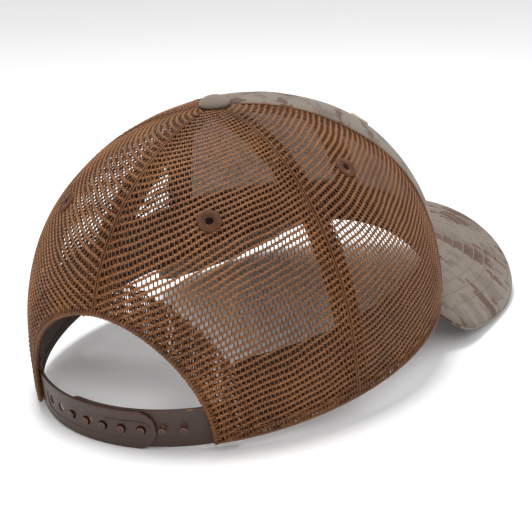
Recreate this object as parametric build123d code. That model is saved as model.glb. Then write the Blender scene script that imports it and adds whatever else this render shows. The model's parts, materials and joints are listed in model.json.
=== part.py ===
from build123d import *
import math
import os

# A six-panel trucker cap with a snap strap at the back. All sizes are millimetres.
# The cap's own frame: the rim lies in z = 0, the bill points to -Y, the wearer's left is +X.
# Seams lie in upright planes through the apex axis, at an angle from the back (+Y) towards -X.
# A layer of the crown is named by its depth, measured inwards from the outside surface.

# Crown
RIM_HALF_WIDTH = 79.1
RIM_FRONT = 103.9
RIM_BACK = 102.5
CROWN_HEIGHT = 98.3
APEX_Y = 6.1
SIDE_POWER = 2.52
FRONT_POWER = 2.54
BACK_POWER = 2.75
TOP_SHARPNESS = 0.76
DOME_SECTIONS = 15
TOP_ANGLE = math.radians(85.7)
WALL_DROP = 4.0
REAR_SEAM = 66.0
FRONT_SEAM = 131.4
SEAM_GAP = 0.1
CUT_LENGTH = 12.0  # long enough for a cutter to pass through every layer

# Depths of the crown's layers, outer and inner face
MESH = (0.0, 0.9)
TWILL = (0.0, 0.8)
BUCKRAM = (0.9, 1.4)
FACING = (1.0, 1.7)
TAPE = (1.8, 2.1)
SWEATBAND = (2.2, 3.4)
TAPE_WIDTH = 12.0
SWEATBAND_HEIGHT = 30.0

# Arched opening at the back, with the doubled hem along its edge
ARCH_HALF_WIDTH = 40.3
ARCH_HEIGHT = 47.5
FACING_WIDTH = 13.0
SWEATBAND_SETBACK = 7.6

# Bill: a piece of a tilted tube, cut to its plan outline
BILL_RADIUS = 110.1
BILL_RISE = 0.249
BILL_ROOT_HEIGHT = 10.3
BILL_HALF_WIDTH = 81.8
BILL_WIDEST_Y = -57.9
BILL_TIP_Y = -174.8
BILL_POWER = 0.652
BILL_CORNER_WIDTH = 16.0
BILL_CORNER_LENGTH = 21.0
BILL_THICKNESS = 3.6
BOARD_THICKNESS = 1.9
COVER_THICKNESS = 0.8
COVER_LIP = 1.0
LAYER_GAP = 0.05
BILL_OVERRUN = 10.0
OUTLINE_STEPS = 12
BILL_TUCK = 1.7

# Top button
BUTTON_RADIUS = 6.2
BUTTON_DOME = 3.5
BUTTON_CURL = 0.9
BUTTON_CLOTH = 0.6
BUTTON_METAL = 0.5
POST_RADIUS = 1.2
POST_HOLE = 1.5
BACK_DISC_RADIUS = 5.5
BACK_DISC_THICKNESS = 0.7
CLINCH_RADIUS = 2.2

# Eyelets: angle from the back and height above the rim
EYELET_PLACES = {"rear": (28.9, 74.8), "side": (94.5, 76.0), "front": (155.7, 75.0)}
EYELET_RADIUS = 4.4
EYELET_HOLE = 1.5
EYELET_PROUD = 0.35
EYELET_FIT = 0.05

# Snap strap: two bands on one circle, the one with holes outside
STRAP_BOTTOM = -1.6
STRAP_HEIGHT = 15.0
STRAP_THICKNESS = 1.3
STRAP_GAP = 0.3
STRAP_SETBACK = 2.0
HOLE_PITCH = 7.9
HOLE_COUNT = 7
HOLE_RADIUS = 1.75
MIDDLE_HOLE_OFFSET = 7.2
HOLE_END_MARGIN = 5.6
CHANNEL_HALF_HEIGHT = 3.9
CHANNEL_DEPTH = 0.35
PEG_RADIUS = 1.15
PEG_HEIGHT = 2.4
SPARE_PEGS = 2
UNUSED_HOLES = 2
PEG_END_MARGIN = 3.9
HINGE_INSET = 2.5
HINGE_GAP = 0.35
TAB_OVERLAP = 4.5


def profile(t, power):
    return max(1 - t**power, 0) ** (1 / (power * TOP_SHARPNESS))


def section(depth, z):
    """Centre y, half width and half length of the crown's ellipse at one height."""
    t = max(z, 0) / (CROWN_HEIGHT - depth)
    half_width = (RIM_HALF_WIDTH - depth) * profile(t, SIDE_POWER)
    front = APEX_Y - (APEX_Y + RIM_FRONT - depth) * profile(t, FRONT_POWER)
    back = APEX_Y + (RIM_BACK - APEX_Y - depth) * profile(t, BACK_POWER)
    return (front + back) / 2, half_width, (back - front) / 2


def heading(angle):
    return Vector(-math.sin(math.radians(angle)), math.cos(math.radians(angle)), 0)


def crown_point(angle, z):
    """Where the outside surface is met by the upright plane at this angle."""
    centre_y, half_width, half_length = section(0, z)
    ray = heading(angle)
    offset = APEX_Y - centre_y
    a = (ray.X / half_width) ** 2 + (ray.Y / half_length) ** 2
    b = 2 * ray.Y * offset / half_length**2
    c = (offset / half_length) ** 2 - 1
    reach = (-b + math.sqrt(b * b - 4 * a * c)) / (2 * a)
    return Vector(reach * ray.X, APEX_Y + reach * ray.Y, z)


def crown_normal(angle, z):
    along = crown_point(angle + 1, z) - crown_point(angle - 1, z)
    up = crown_point(angle, z + 1) - crown_point(angle, z - 1)
    return along.cross(up).normalized()


def rim_y(depth, x):
    """The back of the rim's ellipse at this distance from the middle."""
    centre_y, half_width, half_length = section(depth, 0)
    return centre_y + half_length * math.sqrt(1 - (x / half_width) ** 2)


def dome(depth, drop):
    """Everything inside the crown's surface at this depth, with a straight wall below the rim."""
    sections = []
    for i in range(DOME_SECTIONS):
        z = math.sin(TOP_ANGLE * i / (DOME_SECTIONS - 1)) * (CROWN_HEIGHT - depth)
        y, half_width, half_length = section(depth, z)
        sections.append(Pos(0, y, z) * Ellipse(half_width, half_length))
    return loft(sections) + extrude(sections[0], amount=-drop)


def rim_prism(depth, low, high):
    y, half_width, half_length = section(depth, 0)
    return extrude(Pos(0, y, low) * Ellipse(half_width, half_length), amount=high - low)


def layer(faces):
    post_hole = Pos(0, APEX_Y, CROWN_HEIGHT) * Cylinder(POST_HOLE, CROWN_HEIGHT / 2)
    return dome(faces[0], WALL_DROP) - dome(faces[1], 2 * WALL_DROP) - post_hole


def wedge(start, end, gap):
    """An upright wedge between two seam planes, held back from each by a gap."""
    reach = 3 * RIM_FRONT
    middle = heading((start + end) / 2)
    tip = Vector(0, APEX_Y, 0) + middle * (gap / math.sin(math.radians((end - start) / 2)))
    corners = [tip, tip + heading(start) * reach, tip + middle * reach, tip + heading(end) * reach]
    outline = make_face(Polyline(*corners, close=True))
    return extrude(Pos(0, 0, -reach / 2) * outline, amount=reach)


def above(z):
    size = 6 * RIM_FRONT
    return Pos(0, 0, z + size / 2) * Box(size, size, size)


def arch(margin):
    """The rear opening's prism, widened all round by a margin."""
    outline = Plane.XZ * Ellipse(ARCH_HALF_WIDTH + margin, ARCH_HEIGHT + margin)
    return extrude(outline, amount=-2 * RIM_BACK) & above(-CROWN_HEIGHT)


def bill_tube(inner, outer):
    """The tilted tube between two radii, from behind the bill's corners to past its tip."""
    start_y = BILL_WIDEST_Y + BILL_CORNER_LENGTH
    run = start_y - BILL_TIP_Y + BILL_OVERRUN
    centre_z = BILL_ROOT_HEIGHT + BILL_RISE * (start_y + RIM_FRONT) - BILL_RADIUS
    ring = Circle(outer) - Circle(inner) if inner > 0 else Circle(outer)
    placed = Plane((0, start_y, centre_z), x_dir=(1, 0, 0), z_dir=(0, -1, 0)) * ring
    return extrude(placed, amount=run * math.hypot(1, BILL_RISE), dir=(0, -1, -BILL_RISE))


def bill_plan(inset):
    """The bill's upright prism in plan: a blunt front and rounded rear corners."""
    half_width = BILL_HALF_WIDTH - inset
    reach = BILL_WIDEST_Y - BILL_TIP_Y - inset
    corner_x = half_width - BILL_CORNER_WIDTH
    front = []
    for i in range(-OUTLINE_STEPS, OUTLINE_STEPS + 1):
        turn = math.sin(math.pi / 2 * i / OUTLINE_STEPS) * math.pi / 2
        bulge = max(math.cos(turn), 0) ** BILL_POWER
        front.append((half_width * math.sin(turn), BILL_WIDEST_Y - reach * bulge))
    corner_length = BILL_CORNER_LENGTH - inset
    rear_y = BILL_WIDEST_Y + corner_length
    curve = Spline(*front, tangents=[(0, -1), (0, 1)])
    corners = []
    for side, start in ((1, 0), (-1, 90)):
        centre = (side * corner_x, BILL_WIDEST_Y)
        arc = EllipticalCenterArc(centre, BILL_CORNER_WIDTH, corner_length, start, arc_size=90)
        corners.append(arc)
    back = Line((-corner_x, rear_y), (corner_x, rear_y))
    outline = make_face([curve, back] + corners)
    return extrude(Pos(0, 0, -2 * BILL_RADIUS / 3) * outline, amount=BILL_RADIUS)


def bill_edge_z(x, y, side):
    """Height of the bill's top (side 1) or underside (side -1)."""
    radius = BILL_RADIUS + side * BILL_THICKNESS / 2
    axis_z = BILL_ROOT_HEIGHT + BILL_RISE * (y + RIM_FRONT) - BILL_RADIUS
    return axis_z + math.sqrt(radius**2 - x**2)


def bill_pieces():
    root = rim_prism(BILL_TUCK, -BILL_RADIUS, BILL_RADIUS)
    whole = bill_plan(0) - root
    inside = bill_plan(COVER_LIP) - rim_prism(BILL_TUCK - COVER_LIP, -BILL_RADIUS, BILL_RADIUS)
    half = BOARD_THICKNESS / 2
    outer = BILL_THICKNESS / 2
    core = bill_tube(BILL_RADIUS - half - LAYER_GAP, BILL_RADIUS + half + LAYER_GAP) & inside
    top = bill_tube(BILL_RADIUS + LAYER_GAP / 2, BILL_RADIUS + outer) & whole
    under = bill_tube(BILL_RADIUS - outer, BILL_RADIUS - LAYER_GAP / 2) & whole
    board_plan = bill_plan(COVER_LIP + LAYER_GAP) - rim_prism(0, -BILL_RADIUS, BILL_RADIUS)
    board = bill_tube(BILL_RADIUS - half, BILL_RADIUS + half) & board_plan
    return {"bill_top_cover": top - core, "bill_under_cover": under - core, "bill_board": board}


def eyelet_plane(angle, z):
    return Plane(crown_point(angle, z), z_dir=crown_normal(angle, z))


def eyelet_holes():
    holes = []
    for angle, z in EYELET_PLACES.values():
        for side in (1, -1):
            holes.append(eyelet_plane(side * angle, z) * Cylinder(EYELET_RADIUS + EYELET_FIT, CUT_LENGTH))
    return Compound(children=holes)


def eyelet(angle, z, depth):
    height = EYELET_PROUD + depth
    ring = Pos(0, 0, EYELET_PROUD - height / 2) * Cylinder(EYELET_RADIUS, height)
    ring = fillet(ring.edges().filter_by(GeomType.CIRCLE).group_by(Axis.Z)[-1], EYELET_PROUD * 0.8)
    ring -= Cylinder(EYELET_HOLE, CUT_LENGTH)
    return eyelet_plane(angle, z) * ring


def dome_arc(radius, height):
    """Points of a quarter ellipse, from the top of the button's curled edge up to the middle."""
    turns = [math.radians(degrees) for degrees in range(0, 91, 10)]
    return [(radius * math.cos(t), BUTTON_CURL + height * math.sin(t)) for t in turns]


def dome_shell(radius, height, thickness, foot):
    """A hollow dome turned round Z. Its foot is the profile's corners from inside to outside."""
    outer = dome_arc(radius, height)
    inner = dome_arc(radius - thickness, height - thickness)
    rise = Spline(*outer, tangents=[(0, 1), (-1, 0)])
    fall = Spline(*reversed(inner), tangents=[(1, 0), (0, -1)])
    sides = [Line(outer[-1], inner[-1]), Polyline(inner[0], *foot, outer[0])]
    return revolve(Plane.XZ * make_face([rise, fall] + sides), Axis.Z)


def button_pieces():
    top_z = math.sin(TOP_ANGLE) * CROWN_HEIGHT + LAYER_GAP
    under_z = math.sin(TOP_ANGLE) * (CROWN_HEIGHT - TAPE[1]) - LAYER_GAP
    base = Pos(0, APEX_Y, top_z)
    hollow = BUTTON_RADIUS - BUTTON_CLOTH
    mouth = hollow - BUTTON_CURL
    curl = [(hollow, BUTTON_CLOTH), (mouth, BUTTON_CLOTH), (mouth, 0),
            (BUTTON_RADIUS - BUTTON_CURL, 0), (BUTTON_RADIUS - BUTTON_CURL / 4, BUTTON_CURL / 3)]
    cover = dome_shell(BUTTON_RADIUS, BUTTON_DOME, BUTTON_CLOTH, curl)
    shell_radius = hollow - LAYER_GAP
    shell_height = BUTTON_DOME - BUTTON_CLOTH - LAYER_GAP
    shell_low = BUTTON_CLOTH + LAYER_GAP
    brim = [(shell_radius - BUTTON_METAL, shell_low), (shell_radius, shell_low)]
    shell = dome_shell(shell_radius, shell_height, BUTTON_METAL, brim)
    post_top = top_z + BUTTON_CURL + shell_height - BUTTON_METAL - 2 * LAYER_GAP
    post_low = under_z - BACK_DISC_THICKNESS - LAYER_GAP
    post = Pos(0, APEX_Y, (post_top + post_low) / 2) * Cylinder(POST_RADIUS, post_top - post_low)
    post += Pos(0, APEX_Y, post_low - POST_RADIUS / 4) * Cylinder(CLINCH_RADIUS, POST_RADIUS / 2)
    disc = Cylinder(BACK_DISC_RADIUS, BACK_DISC_THICKNESS) - Cylinder(POST_RADIUS + LAYER_GAP, CUT_LENGTH)
    disc = Pos(0, APEX_Y, under_z - BACK_DISC_THICKNESS / 2) * disc
    return {"button_cover": base * cover, "button_shell": base * shell, "button_post": post,
            "button_back": disc}


def strap_circle():
    """Outer radius and centre y of the strap, through the arch's corners and the back."""
    edge_y = rim_y(FACING[1] + STRAP_GAP, ARCH_HALF_WIDTH)
    rise = RIM_BACK - STRAP_SETBACK - edge_y
    radius = (ARCH_HALF_WIDTH**2 + rise**2) / (2 * rise)
    return radius, RIM_BACK - STRAP_SETBACK - radius


STRAP_RADIUS, STRAP_CENTRE_Y = strap_circle()
PEG_BAND_RADIUS = STRAP_RADIUS - STRAP_THICKNESS - STRAP_GAP
STRAP_MIDDLE_Z = STRAP_BOTTOM + STRAP_HEIGHT / 2
PITCH_ANGLE = math.degrees(HOLE_PITCH / STRAP_RADIUS)


def strap_angle_at(x, radius):
    return math.degrees(math.asin(x / radius))


def hinge_angle(radius):
    """Where a band bends: just inside the arch's edge, level with the top of the strap."""
    level = (STRAP_BOTTOM + STRAP_HEIGHT) / ARCH_HEIGHT
    edge_x = ARCH_HALF_WIDTH * math.sqrt(1 - level**2)
    return strap_angle_at(edge_x - HINGE_INSET, radius - STRAP_THICKNESS / 2)


def hinge_point(side, radius):
    middle = radius - STRAP_THICKNESS / 2
    spot = heading(side * hinge_angle(radius)) * middle
    return Vector(spot.X, STRAP_CENTRE_Y + spot.Y, STRAP_MIDDLE_Z)


def hole_angle(index):
    """Angle of a hole or peg, counted from the strap's middle hole towards -X."""
    return PITCH_ANGLE * index - math.degrees(MIDDLE_HOLE_OFFSET / STRAP_RADIUS)


def radial_plane(angle, radius, z):
    out = heading(angle)
    spot = out * radius
    return Plane((spot.X, STRAP_CENTRE_Y + spot.Y, z), x_dir=(0, 0, 1), z_dir=(out.X, out.Y, 0))


def band(outer, inner, start, end, low, high):
    """A length of strap between two angles."""
    ring = Circle(outer) - Circle(inner)
    reach = 3 * outer
    middle = heading((start + end) / 2) * reach
    corners = [(0, 0), heading(start) * reach, middle, heading(end) * reach]
    sector = ring & make_face(Polyline(*corners, close=True))
    return extrude(Pos(0, STRAP_CENTRE_Y, low) * sector, amount=high - low)


def rounded_band(outer, inner, start, end, low, high):
    """A length of strap with a full round at its end angle."""
    radius = (high - low) / 2
    turn = math.copysign(math.degrees(radius / outer), end - start)
    shape = band(outer, inner, start, end - turn, low, high)
    cap = radial_plane(end - turn, (outer + inner) / 2, (low + high) / 2) * Cylinder(radius, CUT_LENGTH)
    return shape + (band(outer, inner, end - 2 * turn, end, low, high) & cap)


def strap_body(side, radius, end):
    """A moving band: from its round root at the hinge to its rounded end."""
    inner = radius - STRAP_THICKNESS
    top = STRAP_BOTTOM + STRAP_HEIGHT
    start = side * hinge_angle(radius)
    shape = rounded_band(radius, inner, start, end, STRAP_BOTTOM, top)
    return shape + Pos(hinge_point(side, radius)) * Cylinder(STRAP_THICKNESS / 2, STRAP_HEIGHT)


def strap_tab(side, radius):
    """The sewn end of a band, hollowed for the round root of the moving part."""
    inner = radius - STRAP_THICKNESS
    start = side * hinge_angle(radius)
    end = side * strap_angle_at(ARCH_HALF_WIDTH + TAB_OVERLAP, radius)
    tab = band(radius, inner, start, end, STRAP_BOTTOM, STRAP_BOTTOM + STRAP_HEIGHT)
    room = Cylinder(STRAP_THICKNESS / 2 + HINGE_GAP, 2 * STRAP_HEIGHT)
    return tab - Pos(hinge_point(side, radius)) * room


def hole_strap():
    last = hole_angle(HOLE_COUNT // 2) + math.degrees(HOLE_END_MARGIN / STRAP_RADIUS)
    shape = strap_body(-1, STRAP_RADIUS, last)
    channel_floor = STRAP_RADIUS - CHANNEL_DEPTH
    low = STRAP_MIDDLE_Z - CHANNEL_HALF_HEIGHT
    high = STRAP_MIDDLE_Z + CHANNEL_HALF_HEIGHT
    first_hole = hole_angle(-(HOLE_COUNT // 2))
    last_hole = hole_angle(HOLE_COUNT // 2)
    shape -= band(channel_floor + CUT_LENGTH, channel_floor, first_hole, last_hole, low, high)
    end_radius = channel_floor + CUT_LENGTH / 2
    for angle in (first_hole, last_hole):
        slot_end = Cylinder(CHANNEL_HALF_HEIGHT, CUT_LENGTH)
        shape -= radial_plane(angle, end_radius, STRAP_MIDDLE_Z) * slot_end
    for index in range(-(HOLE_COUNT // 2), HOLE_COUNT // 2 + 1):
        hole = Cylinder(HOLE_RADIUS, CUT_LENGTH)
        shape -= radial_plane(hole_angle(index), STRAP_RADIUS, STRAP_MIDDLE_Z) * hole
    return shape


def peg_strap():
    first = UNUSED_HOLES - HOLE_COUNT // 2
    last = HOLE_COUNT // 2 + SPARE_PEGS
    end = hole_angle(first) - math.degrees(PEG_END_MARGIN / PEG_BAND_RADIUS)
    shape = strap_body(1, PEG_BAND_RADIUS, end)
    peg = Pos(0, 0, PEG_HEIGHT / 2) * Cylinder(PEG_RADIUS, PEG_HEIGHT)
    peg = fillet(peg.edges().filter_by(GeomType.CIRCLE).group_by(Axis.Z)[-1], PEG_RADIUS / 2)
    peg += Pos(0, 0, -STRAP_THICKNESS / 4) * Cylinder(PEG_RADIUS, STRAP_THICKNESS / 2)
    for index in range(first, last + 1):
        shape += radial_plane(hole_angle(index), PEG_BAND_RADIUS, STRAP_MIDDLE_Z) * peg
    return shape


def seam_tapes(tape_layer, bill_below):
    """Six tapes, one behind each seam, that meet like pie slices under the button."""
    seams = {"back": 0, "rear_right": REAR_SEAM, "front_right": FRONT_SEAM, "front": 180,
             "front_left": -FRONT_SEAM, "rear_left": -REAR_SEAM}
    angles = sorted(angle % 360 for angle in seams.values())
    tapes = {}
    for name, seam in seams.items():
        at = angles.index(seam % 360)
        before = (angles[at - 1] - 360 if at == 0 else angles[at - 1])
        after = (angles[0] + 360 if at == len(angles) - 1 else angles[at + 1])
        sector = wedge((before + seam % 360) / 2, (after + seam % 360) / 2, SEAM_GAP)
        out = Plane((0, APEX_Y, 0), x_dir=heading(seam), z_dir=(0, 0, 1))
        strip = out * (Pos(RIM_FRONT, 0, 0) * Box(2 * RIM_FRONT, TAPE_WIDTH, 3 * RIM_FRONT))
        tape = tape_layer & sector & strip & above(0)
        tapes[name + "_seam_tape"] = tape - arch(SEAM_GAP) - bill_below
    return tapes


def crown_pieces():
    bill_below = bill_tube(0, BILL_RADIUS + BILL_THICKNESS / 2 + LAYER_GAP)
    below_sweatband = bill_tube(0, BILL_RADIUS - BILL_THICKNESS / 2)
    holes = eyelet_holes()
    mesh = layer(MESH) - holes
    twill = layer(TWILL) - bill_below - holes
    buckram = layer(BUCKRAM) - bill_below - holes
    facing = (layer(FACING) & arch(FACING_WIDTH) & above(0)) - arch(0)
    pieces = {}
    for name, side in (("right", 1), ("left", -1)):
        span = [sorted((side * low, side * high)) for low, high in
                ((0, REAR_SEAM), (REAR_SEAM, FRONT_SEAM), (FRONT_SEAM, 180))]
        rear, middle, front = (wedge(low, high, SEAM_GAP) for low, high in span)
        pieces["rear_mesh_" + name] = (mesh & rear & above(0)) - arch(0)
        pieces["side_mesh_" + name] = (mesh & middle & above(0)) - bill_below
        pieces["front_panel_" + name] = twill & front
        pieces["buckram_" + name] = buckram & front
        pieces["arch_facing_" + name] = facing & rear
    gap_width = 2 * (ARCH_HALF_WIDTH + SWEATBAND_SETBACK)
    opening = Pos(0, RIM_BACK, 0) * Box(gap_width, 2 * RIM_BACK, 4 * CROWN_HEIGHT)
    sweatband = layer(SWEATBAND) & above(-WALL_DROP)
    sweatband = sweatband - above(SWEATBAND_HEIGHT) - opening - below_sweatband
    lowest = BILL_WIDEST_Y + BILL_CORNER_LENGTH
    rear_low = Pos(0, lowest + RIM_BACK, -RIM_BACK) * Box(4 * RIM_BACK, 2 * RIM_BACK, 2 * RIM_BACK)
    pieces["sweatband"] = sweatband - rear_low
    pieces.update(seam_tapes(layer(TAPE), bill_below))
    return pieces


def eyelet_pieces():
    pieces = {}
    for place, (angle, z) in EYELET_PLACES.items():
        depth = BUCKRAM[1] if place == "front" else MESH[1]
        for name, side in (("right", 1), ("left", -1)):
            pieces[f"eyelet_{place}_{name}"] = eyelet(side * angle, z, depth + EYELET_PROUD)
    return pieces


def resting_tilt():
    """The nose-up angle at which the bill's sides and the strap's lower edge stand on one plane."""
    strap_y = STRAP_CENTRE_Y + STRAP_RADIUS
    tilt = 0.0
    for _ in range(8):
        points = []
        for i in range(1, 90):
            turn = math.radians(i)
            x = BILL_HALF_WIDTH * math.sin(turn)
            y = BILL_WIDEST_Y + (BILL_TIP_Y - BILL_WIDEST_Y) * math.cos(turn) ** BILL_POWER
            points.append((y, bill_edge_z(x, y, -1)))
        y, z = min(points, key=lambda p: p[1] * math.cos(tilt) - p[0] * math.sin(tilt))
        tilt = math.atan2(STRAP_BOTTOM - z, strap_y - y)
    return math.degrees(tilt)


def main():
    pieces = crown_pieces()
    pieces.update(bill_pieces())
    pieces.update(button_pieces())
    pieces.update(eyelet_pieces())
    pieces["hole_strap"] = hole_strap()
    pieces["peg_strap"] = peg_strap()
    pieces["hole_strap_tab"] = strap_tab(-1, STRAP_RADIUS)
    pieces["peg_strap_tab"] = strap_tab(1, PEG_BAND_RADIUS)
    tilt = resting_tilt()
    tilted = {name: Rot(X=-tilt) * piece for name, piece in pieces.items()}
    boxes = [piece.bounding_box() for piece in tilted.values()]
    low = Vector(*(min(getattr(box.min, axis) for box in boxes) for axis in "XYZ"))
    high = Vector(*(max(getattr(box.max, axis) for box in boxes) for axis in "XYZ"))
    base = Vector((low.X + high.X) / 2, (low.Y + high.Y) / 2, low.Z)
    os.makedirs("parts", exist_ok=True)
    for name, piece in tilted.items():
        export_step(Pos(-base) * piece, f"parts/{name}.step")
    place = Pos(-base) * Rot(X=-tilt)
    print("tilt", round(tilt, 4), "shift", -base, "size", high - low)
    for name, side, radius in (("hole", -1, STRAP_RADIUS), ("peg", 1, PEG_BAND_RADIUS)):
        print(name, "strap hinge", (place * Pos(hinge_point(side, radius))).position)
    print("strap radius", STRAP_RADIUS, "centre y", STRAP_CENTRE_Y)


main()
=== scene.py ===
import json
import math

import bpy
import bmesh
import numpy as np
from mathutils import Matrix, Vector
from mathutils.geometry import delaunay_2d_cdt


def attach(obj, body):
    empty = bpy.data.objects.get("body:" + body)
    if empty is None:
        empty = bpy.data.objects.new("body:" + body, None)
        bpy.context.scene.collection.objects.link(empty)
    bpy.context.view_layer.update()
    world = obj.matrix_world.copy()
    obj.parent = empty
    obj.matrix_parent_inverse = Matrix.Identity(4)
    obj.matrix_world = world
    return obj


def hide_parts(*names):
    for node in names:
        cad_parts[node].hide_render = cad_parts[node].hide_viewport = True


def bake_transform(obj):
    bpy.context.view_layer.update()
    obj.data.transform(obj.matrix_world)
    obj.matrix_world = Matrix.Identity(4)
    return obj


# The trucker cap's visual model. Shapes are worked out in the cap's own frame in millimetres:
# the rim lies in z = 0, the bill points to -Y and the wearer's left is +X. Angles are in
# degrees about the apex axis, from the back (+Y) towards -X.

# Crown, as in the CAD model
RIM_HALF_WIDTH = 79.1
RIM_FRONT = 103.9
RIM_BACK = 102.5
CROWN_HEIGHT = 98.3
APEX_Y = 6.1
SIDE_POWER = 2.52
FRONT_POWER = 2.54
BACK_POWER = 2.75
TOP_SHARPNESS = 0.76
SEAMS = (0.0, 66.0, 131.4, 180.0)
REAR_SEAM = SEAMS[1]
FRONT_SEAM = SEAMS[2]
ARCH_HALF_WIDTH = 40.3
ARCH_HEIGHT = 47.5
FACING_WIDTH = 13.0
TAPE_WIDTH = 12.0
TAPE_DEPTH = (1.8, 2.1)
SWEATBAND_DEPTH = (2.2, 3.4)
SWEATBAND_HEIGHT = 30.0
SWEATBAND_END_X = 47.9
EYELETS = {"rear": (28.9, 74.8), "side": (94.5, 76.0), "front": (155.7, 75.0)}
EYELET_RADIUS = 4.4
EYELET_HOLE = 1.5
BUTTON_RADIUS = 6.2
BUTTON_DOME = 3.5
BUTTON_CURL = 0.9

# Bill, as in the CAD model
BILL_RADIUS = 110.1
BILL_RISE = 0.249
BILL_ROOT_HEIGHT = 10.3
BILL_HALF_WIDTH = 81.8
BILL_WIDEST_Y = -57.9
BILL_TIP_Y = -174.8
BILL_POWER = 0.652
BILL_CORNER = (16.0, 21.0)
BILL_THICKNESS = 3.6
BILL_TUCK = 1.7

# Snap strap, as in the CAD model
STRAP_RADIUS = 61.8703
STRAP_CENTRE_Y = 38.6297
STRAP_LOW = -1.6
STRAP_HEIGHT = 15.0
STRAP_THICKNESS = 1.3
STRAP_GAP = 0.3
HOLE_PITCH = 7.9
MIDDLE_HOLE_OFFSET = 7.2
HOLE_RADIUS = 1.75
HOLE_END_MARGIN = 5.6
CHANNEL_HALF_HEIGHT = 3.9
CHANNEL_DEPTH = 0.35
PEG_HEIGHT = 2.4
PEG_END_MARGIN = 3.9
TAB_END_X = 44.8
HINGE_X = 36.163

# Knitted net
ROW_PITCH = 2.5
COLUMN_PITCH = 1.7
ROW_WIDTH = 0.92
ROW_HEIGHT = 0.6
ROW_ZIGZAG = 0.17
ROW_JITTER = 0.03
ROW_SIDES = 6
BEAD_SWELL = 0.16
LINK_WIDTH = 0.56
LINK_FLATNESS = 0.7
LINK_FLARE = np.array([1.75, 0.95, 0.95, 1.75])
# Painted shade: links are toned darker than the rows, most in their middles.
LINK_SHADE_TONES = np.array([0.5, 0.36, 0.36, 0.5])
LINK_SINK = 0.06
LINK_SIDES = 5
NET_DEPTH = 0.4
FOLD_DEPTH = 1.25
SEAM_FOLD = 5.6
RIM_FOLD = 6.5

# Rolled hem of the rear opening
HEM_ROLL = 1.7
HEM_MARGIN = 0.7
WHIP_PITCH = 1.25

# Overlock at the rim: its threads run from the edge up to a second cord
LADDER_HEIGHT = 3.1
LADDER_PITCH = 1.45
RIM_CORD_START = 80.7  # mm behind the apex, sets the angle where the rear rim's cords start
RIM_CORD_STOP = 10.0  # degrees before the front seam at which the rim cords end

# Where the net is cut: how far from each seam, the rim, the bill, an eyelet and the button
SEAM_CLEARANCE = 0.25
RIM_CLEARANCE = 0.4
BILL_CLEARANCE = 0.3
BILL_CUT_Y = -38.0  # the net is cut above the bill only in front of this
EYELET_CUT = 3.2
BUTTON_CUT = 4.0

# Sewing
TOPSTITCH_OFFSET = 3.2
BILL_ROW_PITCH = 4.7
BILL_ROWS = [8.0 + BILL_ROW_PITCH * i for i in range(8)]
TOPSTITCH = {"lift": 0.12, "length": 2.3, "gap": 0.55, "width": 0.5}
BILL_STITCH = {"lift": 0.16, "length": 2.1, "gap": 0.5, "width": 0.5}
SEAM_STITCH = {"lift": 0.14, "length": 2.0, "gap": 0.6, "width": 0.36}
HEM_STITCH = {"lift": 0.16, "length": 2.0, "gap": 0.6, "width": 0.42}
RIM_STITCH = {"lift": 0.16, "length": 2.4, "gap": 0.6, "width": 0.42}
TAPE_STITCH = {"lift": 0.14, "length": 2.2, "gap": 0.6, "width": 0.42}
BAND_STITCH = {"lift": 0.2, "length": 2.6, "gap": 0.6, "width": 0.48}

# Heights at which seams and what follows them end under the button
SEAM_TOP = 97.6
TAPE_TOP = 97.2
TOPSTITCH_TOP = 97.0
STITCH_TOP = 96.8
FOLD_TOP = 96.5

# How far the panels swell between their seams, and the twill dips at them
RELIEF = 1.0
RIPPLE = 0.22
SEAM_DIP = 0.55

SIDES = (("right", False), ("left", True))
HALF_BILL = BILL_THICKNESS / 2

random = np.random.default_rng(12)

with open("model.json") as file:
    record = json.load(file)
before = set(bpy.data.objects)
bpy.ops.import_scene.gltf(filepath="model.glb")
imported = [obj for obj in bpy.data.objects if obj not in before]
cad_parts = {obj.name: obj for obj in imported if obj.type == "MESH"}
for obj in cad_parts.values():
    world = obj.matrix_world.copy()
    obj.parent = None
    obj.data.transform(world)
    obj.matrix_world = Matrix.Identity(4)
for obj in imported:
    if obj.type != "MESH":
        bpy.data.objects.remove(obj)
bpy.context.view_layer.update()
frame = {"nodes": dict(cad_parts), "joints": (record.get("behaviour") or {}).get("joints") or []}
nodes = frame["nodes"]


def cap_to_row():
    """The matrix from the cap's frame in mm to the row frame in m, from the strap's hinge."""
    joint = next(j for j in frame["joints"] if j["name"] == "hole_strap_swing")
    up = -Vector(joint["axis"]).normalized()
    along = Vector((0, up.z, -up.y))
    middle = STRAP_RADIUS - STRAP_THICKNESS / 2
    hinge_y = STRAP_CENTRE_Y + math.sqrt(middle**2 - HINGE_X**2)
    hinge_z = STRAP_LOW + STRAP_HEIGHT / 2
    turn = Matrix((Vector((1, 0, 0)), along, up)).transposed() * 0.001
    origin = Vector(joint["pos_m"]) - turn @ Vector((HINGE_X, hinge_y, hinge_z))
    return Matrix.Translation(origin) @ turn.to_4x4()


TO_ROW = cap_to_row()
TO_ROW_ARRAY = np.array(TO_ROW)


def to_row(points):
    """Points of the cap's frame in the row frame."""
    return np.asarray(points) @ TO_ROW_ARRAY[:3, :3].T + TO_ROW_ARRAY[:3, 3]


def smooth(value, low, high):
    """A soft step from 0 at low to 1 at high."""
    t = np.clip((np.asarray(value, float) - low) / (high - low), 0, 1)
    return t * t * (3 - 2 * t)


def unit(vectors):
    """Vectors brought to length 1."""
    length = np.linalg.norm(vectors, axis=-1, keepdims=True)
    return vectors / np.maximum(length, 1e-9)


def bump_line(distance, width):
    """A soft ridge that is 1 at no distance and fades over a width."""
    return np.exp(-((distance / width) ** 2))


# ---------------------------------------------------------------- the crown's surface


def profile(t, power):
    """The crown's half section, from 1 at the rim to 0 at the top."""
    return np.clip(1 - t**power, 0, None) ** (1 / (power * TOP_SHARPNESS))


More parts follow.
